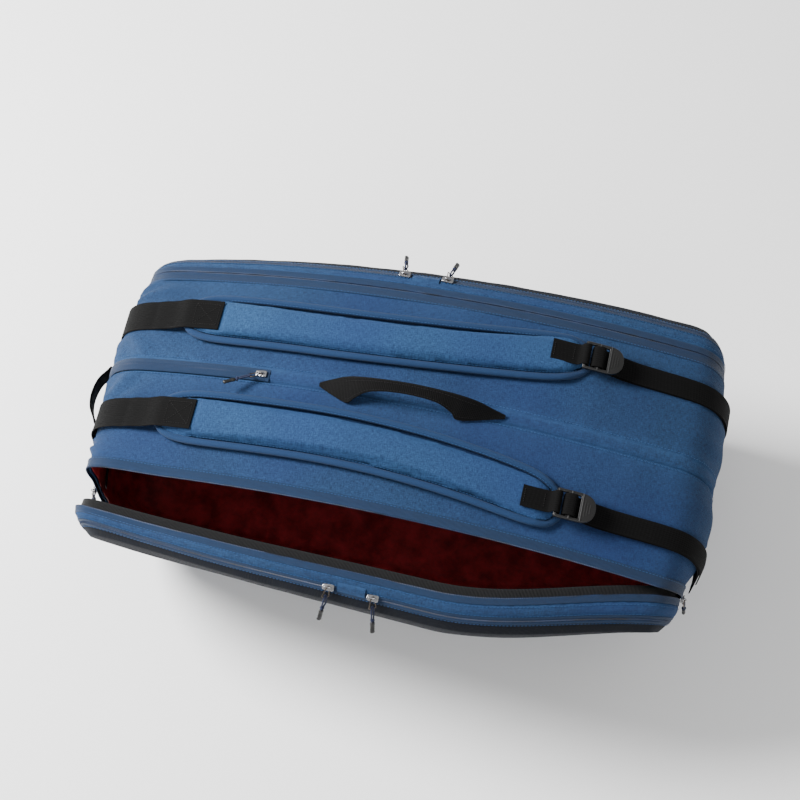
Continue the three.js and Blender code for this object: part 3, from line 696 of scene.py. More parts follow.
def plated(name):
    """Bright plated slider metal with fine rubbing marks."""
    g = Graph(name)
    marks = g.noise(g.scaled(g.object_place, (300, 2600, 300)), 1.0, 3.0)
    colour = g.mix(marks, srgb(96, 96, 98), srgb(188, 188, 190))
    g.set(Base_Color=colour, Metallic=1.0)
    g.put(g.shader.inputs["Roughness"], g.math("ADD", g.math("MULTIPLY", marks, 0.2), 0.12))
    g.bump(marks, 0.05)
    return g.material


SHELL = woven("shell_weave", srgb(4, 13, 34), srgb(12, 34, 67), srgb(48, 82, 122), VIOLET_PAINTED_SHADE)
# Pocket faces: the shell weave darkened to near black as painted shade, for faces that turn down and away
# from the light.
SHELL_SHADE = woven(
    "painted_shade_weave", srgb(1, 3, 8), srgb(3, 6, 14), srgb(7, 13, 28), srgb(1, 3, 8), grain=0.8, sheen=0.01,
)
PAD = woven("pad_weave", srgb(7, 24, 50), srgb(18, 48, 84), srgb(54, 94, 136), VIOLET_PAINTED_SHADE, pitch=1.2)
TAPE = ribbed("zip_tape", srgb(4, 22, 46), srgb(15, 48, 82), 1.3, 0.7, 0.62)
BINDING = ribbed("pad_binding", srgb(6, 30, 62), srgb(24, 66, 108), 1.1, 0.8, 0.7)
GROSGRAIN = ribbed("grosgrain", srgb(2, 2, 2), srgb(18, 18, 20), 1.6, 0.8, 0.6, depth=0.5, sheen=0.01)
COIL = slick("zip_coil", srgb(3, 12, 30), srgb(10, 34, 68), 0.5)
THREAD = ribbed("thread", srgb(22, 58, 102), srgb(48, 96, 148), 0.8, 0.4, 0.6)
DARK_THREAD = ribbed("dark_thread", srgb(10, 9, 9), srgb(32, 30, 30), 0.8, 0.4, 0.6, sheen=0.02)
RED_LINING = slick("red_lining", srgb(140, 26, 32), srgb(200, 56, 62), 0.34, coat=0.3, fold=1.6)
GREY_LINING = slick("grey_lining", srgb(12, 12, 13), srgb(30, 29, 31), 0.38, coat=0.25, fold=1.6)
SEAM_TAPE = ribbed("seam_tape", srgb(10, 9, 10), srgb(34, 32, 34), 1.2, 0.8, 0.6, sheen=0.02)
WEBBING_BLACK = ribbed(
    "webbing", srgb(1, 1, 1), srgb(9, 8, 8), 2.6, 1.3, 0.85, along_ribs=True, sheen=0.0, gloss=0.12,
)
HANDLE_BLACK = ribbed(
    "handle_webbing", srgb(1, 1, 1), srgb(12, 10, 10), 2.2, 1.2, 0.8, depth=0.4, sheen=0.01, gloss=0.15,
)
MOULDED = slick("moulded_black", srgb(3, 3, 3), srgb(9, 8, 8), 0.42, fold=0.12)
METAL = plated("plated_metal")
WIRE = slick("wire_dark", srgb(70, 62, 54), srgb(120, 108, 96), 0.3, fold=0.05, metallic=1.0)
CORD = ribbed("cord_braid", srgb(10, 15, 34), srgb(38, 50, 92), 1.4, 1.0, 0.7, depth=0.4)


# ------------------------------------------------------------------ pieces

def in_scene(name, data):
    holder = bpy.data.objects.new(name, data)
    bpy.context.scene.collection.objects.link(holder)
    return holder


def make_piece(name, shape, finish, sharp=math.radians(50)):
    points, faces, coords = shape
    mesh = bpy.data.meshes.new(name)
    mesh.from_pydata(to_row(bulged(cornered(points))).tolist(), [], faces)
    attribute = mesh.attributes.new("cloth", "FLOAT_VECTOR", "POINT")
    attribute.data.foreach_set("vector", np.asarray(coords, np.float32).ravel())
    mesh.materials.append(finish)
    work = bmesh.new()
    work.from_mesh(mesh)
    bmesh.ops.recalc_face_normals(work, faces=work.faces)
    work.to_mesh(mesh)
    work.free()
    mesh.polygons.foreach_set("use_smooth", [True] * len(mesh.polygons))
    mesh.set_sharp_from_angle(angle=sharp)
    return in_scene(name, mesh)


def attach(piece, body, slot, *nodes):
    """The piece rides its body; a piece on the near cover is baked where it stands instead."""
    if body == "near_cover":
        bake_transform(piece)
    else:
        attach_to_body(piece, body)
    if nodes:
        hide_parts(*nodes)
    return piece


def add_piece(name, shape, finish, body, slot, *nodes):
    return attach(make_piece(name, shape, finish), body, slot, *nodes)


def grid_cloth(rows, grid, edge_width=4.0):
    """Cloth coordinates for a sheet laid over rows: arc length, place across, nearness to an edge."""
    cloth = np.zeros(grid.shape)
    cloth[..., 0] = rows.s[:, None] * MM
    across = np.linalg.norm(np.diff(grid, axis=1), axis=2)
    across = np.concatenate([np.zeros((len(rows.s), 1)), np.cumsum(across, axis=1)], axis=1)
    cloth[..., 1] = across * MM
    nearest = np.minimum(across, across[:, -1:] - across)
    cloth[..., 2] = np.exp(-nearest / edge_width)
    return cloth


def sheet_shape(rows, layer, thickness):
    """A cloth wall: layer(lift) gives the grid at a height above its place."""
    outer, inner = layer(0.0), layer(-thickness)
    return thick(outer, inner, grid_cloth(rows, outer), closed=rows.closed)


def concentric(rows, y_at, top, low, ratios, bulge):
    """Rings that shrink from a profile loop towards its middle, for a wall across the bag."""
    rim = lay(rows, y_at, np.array([top]), np.array([low]))[:, 0]
    middle = np.array([(FLAT_START_X + FLAT_END_X) / 2, 0, MID_SEAM_Z * 0.98])
    rings = []
    for ratio in ratios:
        ring = middle + (rim - middle) * ratio
        ring[:, 1] = y_at(ring[:, 0]) + bulge(ratio, ring[:, 0], ring[:, 2])
        rings.append(ring)
    return np.stack(rings, axis=1)


def wall_shape(rows, y_at, top, low, thickness, bulge):
    """A soft closed wall across the bag, facing along Y."""
    ratios = [0.04, 0.12, 0.22, 0.32, 0.42, 0.52, 0.62, 0.71, 0.79, 0.86, 0.91, 0.95, 0.98, 1.0]
    face = concentric(rows, y_at, top, low, ratios, bulge)
    back = concentric(rows, lambda x: y_at(x) + thickness, top, low, ratios[::-1], bulge)
    grid = np.concatenate([face, back], axis=1)
    cloth = np.zeros(grid.shape)
    cloth[..., 0], cloth[..., 1] = grid[..., 0] * MM, grid[..., 2] * MM
    return skin(grid, cloth, wrap_rows=True, fan_ends=True)


# ------------------------------------------------------------------ body shell

def panel_lift(x, y, lip_distance, centre_distance, seed):
    """How far the padded strap panel stands out: soft sag, seam puckers and corner gathers."""
    lift = 1.3 * noise_at(x, y, 95, seed) + 0.5 * noise_at(x, y, 30, seed + 5)
    sag = np.sin(np.pi * np.clip(centre_distance / (centre_distance + lip_distance), 0, 1))
    lift += 1.2 * sag
    ends = smooth((-250 - x) / 90) + smooth((x - 285) / 80)
    radial = np.arctan2(x + 390, y - 92)
    lift += 1.5 * np.sin(radial * 17 + seed) * smooth((-285 - x) / 60)
    lift += 1.0 * np.sin(y / 5.5 + 2 * noise_at(x, y, 40, seed + 9)) * ends * 0.5
    lift += 0.5 * np.sin(x / 2.7 + 3 * noise_at(x, y, 50, seed + 2)) * np.exp(-lip_distance / 9)
    return 1.4 * lift * smooth(lip_distance / 16) * smooth(centre_distance / 7)


def add_strap_panel(label, side):
    rows = Rows(0.15, S_HEAD_SEAM - 0.15, 4.5)
    shares = np.concatenate([[0, 0.012, 0.03], np.linspace(0.055, 0.955, 30), [0.975, 0.99, 1]])
    flat = body_sheet(rows, shares)
    lip_gap = lip_y(flat[..., 0]) - flat[..., 1]
    lift = panel_lift(flat[..., 0], flat[..., 1], lip_gap, flat[..., 1] - CENTRE_HALF_GAP, 3 + side)
    seam = np.minimum(rows.s - rows.s[0], rows.s[-1] - rows.s)[:, None]
    fold = 3.0 if side == NEAR else 0.2
    anchor = (flat[..., 0] < UNDER_ANCHOR_TO_X) & (np.abs(flat[..., 1] - ANCHOR_Y) < WIDE_WEBBING / 2 + 5)
    adjust = (flat[..., 0] > UNDER_ADJUST_FROM_X) & (np.abs(flat[..., 1] - BUCKLE_Y) < NARROW_WEBBING / 2 + 5)
    lift = np.where(anchor | adjust, np.minimum(lift, STRAP_LIFT - 1.5), lift)
    lift = lift * smooth(seam / 12) - fold * np.exp(-(flat[..., 1] - CENTRE_HALF_GAP) / 2.5)
    shape = sheet_shape(rows, lambda extra: body_sheet(rows, shares, lift + extra), PANEL)
    add_piece(
        f"strap_cloth_{label}", tucked(shape, side), SHELL,
        "bag", "shell_fabric", f"strap_panel_{label}",
    )


def add_front_panel(label, side):
    rows = Rows(S_HEAD_SEAM + 0.15, LOOP_LENGTH - 0.15, 6)
    shares = np.concatenate([[0, 0.02], np.linspace(0.06, 0.94, 22), [0.98, 1]])
    flat = body_sheet(rows, shares)
    x, y = flat[..., 0], flat[..., 1]
    lift = 1.2 * noise_at(x + flat[..., 2], y, 60, 20 + side) + 0.6 * noise_at(x, y + flat[..., 2], 25, 22)
    lift = np.minimum(lift, np.where(flat[..., 2] < 6, 0, 9)) * smooth((lip_y(x) - y) / 14)
    lift = lift * smooth((y - CENTRE_HALF_GAP) / 7)
    shape = sheet_shape(rows, lambda extra: body_sheet(rows, shares, lift + extra), PANEL)
    add_piece(
        f"front_cloth_{label}", tucked(shape, side), SHELL,
        "bag", "shell_fabric", f"front_panel_{label}",
    )


def add_lining(label, side):
    rows = whole_loop(7)
    shares = np.linspace(0.04, 0.985, 22)
    flat = body_sheet(rows, shares)
    depth = PANEL + 0.8 + 1.4 + 1.4 * noise_at(flat[..., 0] + flat[..., 2], flat[..., 1], 26, 30 + side)
    edge = np.minimum(shares - shares[0], shares[-1] - shares)
    depth = PANEL + 0.8 + (depth - PANEL - 0.8) * smooth(edge / 0.06)
    shape = sheet_shape(rows, lambda extra: body_sheet(rows, shares, extra - depth), 1.0)
    add_piece(
        f"lining_cloth_{label}", tucked(shape, side), RED_LINING,
        "bag", "thermal_lining", f"lining_{label}",
    )
    tapes = []
    for s in (S_ARCH_START - 12, S_ARCH_END + 12, 4, S_HEAD_SEAM - 4):
        point = Rows(s, s + 0.01)
        path = body_sheet(point, np.linspace(0.08, 0.97, 30), -(PANEL + 6.6))[0]
        way = np.array([point.nz[0], 0, -point.nx[0]])
        tapes.append(ribbon(path, way, 11, 0.8))
    add_piece(f"seam_tapes_{label}", tucked(merge(tapes), side), SEAM_TAPE, "bag", "inner_lining")


def add_divider(label, side):
    rows = whole_loop(9)
    wave = lambda ratio, x, z: (1.6 + 1.6 * noise_at(x, z, 60, 40 + side)) * smooth((1 - ratio) / 0.2)
    shape = wall_shape(rows, lambda x: 9.0 + 0 * x, 4, 4, 1.8, wave)
    add_piece(
        f"divider_cloth_{label}", mirrored(shape, side), GREY_LINING,
        "bag", "inner_lining", f"divider_{label}",
    )


def ribbed_coil(path, radius, pitch=2.0, closed=False):
    """Zip coil: a round cord whose width swells at each tooth."""
    s = path_length(path)
    even = np.linspace(0, s[-1], int(s[-1] / (pitch / 3)))
    line = sampled(path, s, even)
    swell = radius * (0.8 + 0.28 * np.cos(even * TAU / pitch))
    if closed:
        line, swell = line[:-1], swell[:-1]
    return tube(line, swell, sides=6, closed=closed)


def add_main_zip(label, side):
    rows = Rows(S_ZIP_HANDLE, S_ZIP_HEAD, 4)
    offsets = np.array([-8.6, -8.0, -6.5, -4.5, -2, 0.5, 2.4, 3.6])
    rise = 0.9 + 0.25 * noise_at(rows.s[:, None], 0 * offsets[None], 20, 50 + side)
    shape = sheet_shape(rows, lambda extra: lip_sheet(rows, offsets, rise + extra), 0.9)
    add_piece(
        f"zip_tape_{label}", tucked(shape, side), TAPE,
        "bag", "zip_tape", f"main_zip_tape_{label}",
    )
    line = lip_sheet(rows, [BODY_COIL_OUT], -0.4)[:, 0]
    add_piece(
        f"zip_coil_{label}", tucked(ribbed_coil(line, 1.15), side), COIL,
        "bag", "zip_tape", f"main_zip_teeth_{label}",
    )
    seam = lip_sheet(rows, [-7.2], 1.1)[:, 0]
    add_piece(
        f"lip_stitching_{label}", tucked(stitches(seam, up=rows.outward), side), THREAD,
        "bag", "zip_tape",
    )


def add_hinge_strip(label, side):
    """Cloth that joins the cover's low edge to the body."""
    rows = Rows(S_ZIP_HEAD - 4, LOOP_LENGTH + S_ZIP_HANDLE + 4, 7)
    steps = np.linspace(0, 1, 7)
    y_at = lambda x: lip_y(x) + 0.3 + 9 * steps
    low = FRONT_LIFT + 2 + (COVER_LIFT - FRONT_LIFT) * smooth(steps)
    shape = sheet_shape(rows, lambda extra: lay(rows, y_at, CROWN_DROP + 0 * steps, low, extra), 1.6)
    add_piece(
        f"hinge_cloth_{label}", tucked(shape, side), SHELL,
        "bag", "shell_fabric", f"cover_hinge_{label}",
    )


def add_centre():
    half = CENTRE_HALF_GAP - 0.3
    places = np.array([-1, -0.8, -0.45, -0.2, 0, 0.2, 0.45, 0.8, 1]) * half
    zip_end = S_ARCH_START + CENTRE_ZIP_PAST_ARCH
    rows = Rows(5, zip_end, 4)
    strip = lambda rows, lift: lay(rows, lambda x: places + 0 * x, 0 * places, 0 * places, lift)
    tape = 2.2 * (1 - (places / half) ** 2) - 0.5 * np.exp(-np.abs(places) / 1.2)
    shape = sheet_shape(rows, lambda extra: strip(rows, tape + extra), 1.2)
    add_piece("centre_tape", shape, TAPE, "bag", "zip_tape", "centre_zip_tape")
    line = strip(rows, 0.7)[:, 4]
    add_piece("centre_coil", ribbed_coil(line, 1.3), COIL, "bag", "zip_tape", "centre_zip_coil")
    rows = Rows(zip_end, LOOP_LENGTH, 5)
    fold = 0.8 - 3.4 * np.exp(-((places + half) / 2.2) ** 2) - 0.5 * smooth(places / half)
    fold = np.where(rows.z[:, None] < 8, np.minimum(fold, -0.2), fold)
    shape = sheet_shape(rows, lambda extra: strip(rows, fold + extra), 2.2)
    add_piece("centre_seam", shape, SHELL, "bag", "shell_fabric", "centre_welt")
    rows = Rows(5, S_HEAD_SEAM, 4)
    lines = []
    for side in (FAR, NEAR):
        path = lay(rows, lambda x: side * CENTRE_STITCH_Y + 0 * x, np.zeros(1), np.zeros(1), 0.5)[:, 0]
        lines.append(stitches(path, up=rows.outward))
    add_piece("centre_stitching", merge(lines), THREAD, "bag", "shell_fabric")


# ------------------------------------------------------------------ covers

def add_cover(label, side):
    body = f"{label}_cover"
    on_cover = lambda shape: bent_open(mirrored(waisted(shape), side), side)
    zip_rows = Rows(S_ZIP_HANDLE, S_ZIP_HEAD, 4)
    loop = whole_loop(5)

    offsets = np.array([6.2, 7.0, 8.5, 10, 11.5, 13, 14.2])
    rise = 0.6 + 0.3 * noise_at(zip_rows.s[:, None], 0 * offsets[None], 18, 60 + side)
    rise = rise + 0.5 * smooth((offsets - 9) / 5)
    layer = lambda extra: cover_sheet(zip_rows, 0 * offsets, rise + extra, offsets)
    add_piece(
        f"cover_tape_{label}", on_cover(sheet_shape(zip_rows, layer, 1.0)), TAPE,
        body, "zip_tape", f"cover_zip_{label}",
    )

    line = cover_sheet(zip_rows, [0.0], -0.2, np.array([COVER_COIL_OUT]))[:, 0]
    add_piece(f"cover_coil_{label}", on_cover(ribbed_coil(line, 1.1)), COIL, body, "zip_tape")

    reach = np.array([9.5, 7.0, 4.0, 1.0, -2.0, -5.0])
    sunk = np.array([1.0, 2.6, 4.2, 5.2, 5.9, 6.3])
    sunk = sunk + 0.5 * noise_at(zip_rows.s[:, None], 0 * reach[None], 22, 65)
    band = lambda extra: cover_sheet(zip_rows, 0 * reach, -sunk + extra, reach)
    shape = thick(band(0), band(-1.2), grid_cloth(zip_rows, band(0)))
    add_piece(f"cover_binding_{label}", on_cover(shape), GROSGRAIN, body, "inner_lining")

    sag = lambda ratio, x, z: smooth((1 - ratio) / 0.3) * (4 + 3.5 * noise_at(x, z, 70, 70 + side))
    lining_y = lambda x: lip_y(x) + COVER_LINING_OUT
    shape = wall_shape(whole_loop(8), lining_y, CROWN_DROP + 2, COVER_LIFT + 1, 1.2, sag)
    add_piece(
        f"cover_lining_cloth_{label}", on_cover(shape), GREY_LINING,
        body, "inner_lining", f"cover_lining_{label}",
    )

    shares = np.linspace(GUSSET_START, GUSSET_END, 11)
    puff = np.sin(np.pi * (shares - GUSSET_START) / (GUSSET_END - GUSSET_START))
    lift = puff * (1.6 + 0.9 * noise_at(loop.s[:, None], 0 * shares[None], 30, 80 + side))
    lift = lift + 0.4 * np.sin(loop.s[:, None] / 2.4) * np.exp(-((shares - 0.32) / 0.05) ** 2)
    shape = sheet_shape(loop, lambda extra: cover_sheet(loop, shares, lift + extra), PANEL * 0.8)
    add_piece(
        f"gusset_cloth_{label}", on_cover(shape), SHELL,
        body, "shell_fabric", f"cover_gusset_{label}",
    )

    shares = np.array([0.605, 0.62, 0.65, 0.675, 0.69, 0.705, 0.73, 0.76, 0.775])
    groove = 1.5 - 1.6 * np.exp(-((shares - POCKET_ZIP_SHARE) / 0.018) ** 2)
    shape = sheet_shape(loop, lambda extra: cover_sheet(loop, shares, groove + extra), 1.2)
    add_piece(f"pocket_tape_{label}", on_cover(shape), TAPE, body, "zip_tape", f"pocket_zip_{label}")
    line = cover_sheet(loop, [POCKET_ZIP_SHARE], 0.5)[:, 0]
    add_piece(
        f"pocket_coil_{label}", on_cover(ribbed_coil(np.vstack([line, line[:1]]), 1.2, closed=True)), COIL,
        body, "zip_tape",
    )

    rows = []
    for share, height in ((0.36, 1.4), (0.585, 1.6), (0.8, 1.0)):
        rows.append(stitches(cover_sheet(loop, [share], height)[:, 0], up=loop.outward))
    add_piece(f"cover_stitching_{label}", on_cover(merge(rows)), THREAD, body, "shell_fabric")

    # The pocket face gets the darkened weave: painted shade.
    add_piece(
        f"pocket_face_{label}", on_cover(lid_shape(side)), SHELL_SHADE,
        body, "shell_fabric", f"pocket_lid_{label}",
    )
    add_pocket_tab(label, body, on_cover)


def lid_shape(side):
    """Pocket face: a rounded rim that turns over into a softly crowned outer face."""
    rows = whole_loop(6)
    shares = np.array([LID_START, 0.82, 0.86, 0.9, 0.935, 0.965, 0.985, 1.0])
    rim_lift = 1.2 * noise_at(rows.s[:, None], 0 * shares[None], 34, 90 + side)
    rim_lift = rim_lift * smooth((shares - LID_START) / 0.05)
    ratios = [0.985, 0.965, 0.94, 0.9, 0.85, 0.78, 0.7, 0.6, 0.5, 0.4, 0.3, 0.2, 0.1, 0.03]

    def crown(ratio, x, z):
        waves = 1.4 * noise_at(x, z, 60, 95 + side) * smooth((1 - ratio) / 0.15)
        return 9 * (1 - ratio ** 2) ** 0.7 + waves

    def surface(gap):
        rim = cover_sheet(rows, shares, rim_lift - gap)
        top, low = CROWN_DROP + COVER_EDGE_DROP + gap, COVER_LIFT + COVER_EDGE_LIFT + gap
        face = concentric(rows, lambda x: outer_y(x) - gap, top, low, ratios, crown)
        return np.concatenate([rim, face], axis=1)

    outer, inner = surface(0.0), surface(2.0)
    grid = np.concatenate([inner[:, ::-1], outer], axis=1)
    cloth = np.zeros(grid.shape)
    cloth[..., 0] = grid[..., 0] * MM
    cloth[..., 1] = (grid[..., 1] + grid[..., 2]) * MM
    return skin(grid, cloth, wrap_rows=True, fan_ends=True)


def add_pocket_tab(label, body, on_cover):
    """Short cloth tab over the pocket zip, between the two sliders."""
    across = np.linspace(TAB_START, TAB_END, 9)
    start, end = (arch_place(x) for x in (TAB_START_X, TAB_END_X))
    rows = Rows(start, end, 3)
    crown = 2.2 + 1.6 * np.sin(np.pi * (across - TAB_START) / (TAB_END - TAB_START))
    shape = sheet_shape(rows, lambda extra: cover_sheet(rows, across, crown + extra), 1.4)
    add_piece(f"zip_tab_{label}", on_cover(shape), SHELL, body, "shell_fabric", f"pocket_tab_{label}")


# ------------------------------------------------------------------ pads and straps

def pad_outline_width(x):
    middle, half = (PAD_START_X + PAD_END_X) / 2, (PAD_END_X - PAD_START_X) / 2
    return PAD_HALF_WIDTH * np.sqrt(np.maximum(0, 1 - np.abs((x - middle) / half) ** 14))


def pad_tall(x):
    return PAD_THICKNESS * np.clip((PAD_END_X + 4 - x) / 30, 0.4, 1)


def pad_block(side):
    """The pad before it is stuffed: a slightly smaller closed form with a pinched edge."""
    xs = np.concatenate([[-282.5, -280, -276, -270], np.arange(-262, 196, 9.0), [199, 204, 208, 210.5]])
    outline = [(-0.98, 0.4), (-0.88, 0.12), (-0.4, 0.04), (0, 0.04), (0.4, 0.04), (0.88, 0.12), (0.98, 0.4),
               (0.9, 0.7), (0.66, 0.84), (0.3, 0.9), (0, 0.92), (-0.3, 0.9), (-0.66, 0.84), (-0.9, 0.7)]
    sections = []
    for x in xs:
        width = pad_outline_width(x) - 1.5
        y = np.array([pad_middle(x) + across * width for across, _ in outline])
        z = surface_z(x, y) + PAD_LIFT + np.array([up for _, up in outline]) * pad_tall(x)
        sections.append(np.stack([np.full(len(outline), x), y, z], axis=1))
    grid = np.stack(sections).swapaxes(0, 1)
    return mirrored(skin(grid, np.zeros(grid.shape), wrap_rows=True, fan_ends=True), side)


def stuffed(piece, cap_mm):
    """Cloth simulation under pressure, with each point's travel capped, applied to the mesh."""
    remesh = piece.modifiers.new("remesh", "REMESH")
    remesh.mode, remesh.voxel_size = "VOXEL", 0.004
    apply_modifiers(piece)
    before = np.array([v.co for v in piece.data.vertices], float)
    cloth = piece.modifiers.new("stuffing", "CLOTH")
    cloth.settings.use_pressure = True
    cloth.settings.uniform_pressure_force = 4
    cloth.settings.effector_weights.gravity = 0
    for step in range(1, PAD_SIMULATION_STEPS + 1):
        bpy.context.scene.frame_set(step)
    apply_modifiers(piece)
    bpy.context.scene.frame_set(1)
    after = np.array([v.co for v in piece.data.vertices], float)
    travel = after - before
    far = np.maximum(np.linalg.norm(travel, axis=1), 1e-9)[:, None]
    after = before + travel * np.minimum(1, cap_mm * MM / far)
    piece.data.vertices.foreach_set("co", after.ravel())
    rounding = piece.modifiers.new("rounding", "SMOOTH")
    rounding.factor, rounding.iterations = 0.5, 4
    subdivision = piece.modifiers.new("fine", "SUBSURF")
    subdivision.levels = subdivision.render_levels = 1
    apply_modifiers(piece)


def apply_modifiers(piece):
    bpy.context.view_layer.update()
    graph = bpy.context.evaluated_depsgraph_get()
    mesh = bpy.data.meshes.new_from_object(piece.evaluated_get(graph))
    old = piece.data
    piece.modifiers.clear()
    piece.data = mesh
    bpy.data.meshes.remove(old)


def pad_edge(inset, lift, step=3.0):
    """Line round the pad, `inset` inside its outline and `lift` up its side."""
    xs = np.concatenate([[-282.8, -280.5, -277, -271], np.arange(-262, 196, 8.0), [199, 205, 209, 211.4]])
    xs = xs * (1 - inset / 260)
    width = np.maximum(pad_outline_width(xs) - inset, 1)
    lines = []
    for sign, order in ((1, 1), (-1, -1)):
        y = pad_middle(xs) + sign * width
        z = surface_z(xs, y) + PAD_LIFT + lift * pad_tall(xs)
        lines.append(np.stack([xs, y, z], axis=1)[::order])
    return through(np.vstack(lines), step, closed=True)


def resting_on(piece, path, rise):
    """The path dropped straight down onto a piece, `rise` above it."""
    bpy.context.view_layer.update()
    landed = []
    for point in path:
        start = Vector(to_row(point)) + Vector((0, 0, 0.05))
        hit, place = piece.ray_cast(start, Vector((0, 0, -1)))[:2]
        landed.append(np.array(place) / MM - SHIFT + np.array([0, 0, rise]) if hit else point)
    return np.array(landed)


def add_pad(label, side):
    body = f"{label}_pad"
    pad = make_piece(f"pad_{label}", pad_block(side), PAD)
    stuffed(pad, PAD_SWELL)
    points = np.array([v.co for v in pad.data.vertices], float) / MM - SHIFT
    own = np.array([points[:, 0], points[:, 1] * side, points[:, 2]]).T
    edge = pad_outline_width(own[:, 0]) - np.abs(own[:, 1] - pad_middle(own[:, 0]))
    base = surface_z(own[:, 0], own[:, 1]) + PAD_LIFT
    groove = 1.3 * np.exp(-((edge - 7.5) / 2.2) ** 2) * smooth((own[:, 2] - base - 5) / 5)
    points[:, 2] = np.maximum(points[:, 2] - groove, base + 0.2)
    under_anchor = surface_z(own[:, 0], ANCHOR_INNER_Y) + PAD_LIFT + PAD_THICKNESS - 0.2
    pressed = np.minimum(points[:, 2], under_anchor)
    points[:, 2] = np.where(own[:, 0] < ANCHOR_SEWN_TO_X, pressed, points[:, 2])
    pad.data.vertices.foreach_set("co", to_row(points).ravel())
    found = pad.data.attributes.get("cloth")
    attribute = found or pad.data.attributes.new("cloth", "FLOAT_VECTOR", "POINT")
    coords = np.stack([own[:, 0] * MM, own[:, 1] * MM, np.exp(-np.clip(edge, 0, None) / 4)], axis=1)
    attribute.data.foreach_set("vector", coords.astype(np.float32).ravel())
    pad.data.polygons.foreach_set("use_smooth", [True] * len(pad.data.polygons))
    attach(pad, body, "pad_fabric", f"shoulder_pad_{label}")

    cord = tube(pad_edge(1.6, 0.56), 4.6, sides=12, closed=True, squash_to=0.8)
    add_piece(f"pad_binding_{label}", mirrored(cord, side), BINDING, body, "pad_fabric")
    line = resting_on(pad, mirrored((pad_edge(6.0, 0.9), [], np.zeros((1, 3))), side)[0], 0.25)
    add_piece(f"pad_stitching_{label}", stitches(line), THREAD, body, "pad_fabric")


def strap_on_profile(start, end, inner_y, lift=STRAP_LIFT, step=6):
    rows = Rows(start, end, step)
    share = (inner_y - CENTRE_HALF_GAP) / (LIP_HALF_WIDTH - CENTRE_HALF_GAP)
    points = lay(rows, lambda x: 0 * x, np.array([CROWN_DROP * share ** 2]), np.array([0.0]), lift)
    return points[:, 0][:, [0, 2]]


def strap_shape(path_xz, y, width):
    path = np.insert(path_xz, 1, y, axis=1)
    return ribbon(path, (0, 1, 0), width, columns=7)


def height_path(stations, inner_y):
    return np.array([(x, surface_z(x, inner_y) + height) for x, height in stations])


def box_stitch(x_range, y_range, z_at):
    """A sewn box with its crossing diagonals."""
    (x0, x1), (y0, y1) = x_range, y_range
    a, b, c, d = (x0, y0), (x1, y0), (x1, y1), (x0, y1)
    lines = []
    for start, end in ((a, b), (b, c), (c, d), (d, a), (a, c), (b, d)):
        flat = np.linspace(start, end, 12)
        path = np.column_stack([flat, [z_at(x, y) for x, y in flat]])
        lines.append(stitches(path, pitch=3.0, length=2.3, radius=0.4))
    return merge(lines)


def bend_with_pad(piece):
    """Bakes the piece's transform into its mesh; the webbing does not follow the pad."""
    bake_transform(piece)


def add_anchor_webbing(label, side):
    top = PAD_LIFT + PAD_THICKNESS + 1.4
    stations = [(-318, STRAP_LIFT + 3), (-300, 8), (-284, top - 0.6), (-270, top), (-254, top), (-238, top)]
    wall = strap_on_profile(1, S_ARCH_START - 8, ANCHOR_INNER_Y)
    path = through(np.vstack([wall, height_path(stations, ANCHOR_INNER_Y)]), 3)
    strap = mirrored(strap_shape(path, ANCHOR_Y, WIDE_WEBBING), side)
    piece = make_piece(f"anchor_strap_{label}", strap, WEBBING_BLACK)
    bend_with_pad(piece)
    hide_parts(f"anchor_webbing_{label}")
    z_at = lambda x, y: surface_z(x, ANCHOR_INNER_Y) + top + 1.1
    sewn = box_stitch((-272, -242), (ANCHOR_Y - 14, ANCHOR_Y + 14), z_at)
    piece = make_piece(f"anchor_stitching_{label}", mirrored(sewn, side), DARK_THREAD)
    bend_with_pad(piece)


def from_buckle(points):
    cos, sin = math.cos(BUCKLE_TILT), math.sin(BUCKLE_TILT)
    return np.asarray(points, float) @ np.array([[cos, sin], [-sin, cos]]) + BUCKLE_ORIGIN


def add_buckle_loop(label, side):
    local = [(-41, -4.6), (-12, -4.6), (-6, -2.6), (-4.4, 1), (-1.6, 4.1), (2.4, 4), (4.5, 0.8), (3.6, -3.4),
             (-1, -4.7)]
    path = through(from_buckle(local), 1.5)
    body = f"{label}_pad"
    add_piece(
        f"lock_loop_{label}", mirrored(strap_shape(path, BUCKLE_Y, NARROW_WEBBING), side), WEBBING_BLACK,
        body, "webbing", f"buckle_loop_{label}",
    )
    half = NARROW_WEBBING / 2 - 4
    rows = []
    for x in (-38, -14):
        line = np.array([(x, y, -3.5) for y in np.linspace(-half, half, 8)])
        flat = from_buckle(line[:, [0, 2]])
        rows.append(stitches(np.column_stack([flat[:, 0], line[:, 1] + BUCKLE_Y, flat[:, 1]]), 3.0, 2.3, 0.4))
    add_piece(f"loop_stitching_{label}", mirrored(merge(rows), side), DARK_THREAD, body, "webbing")


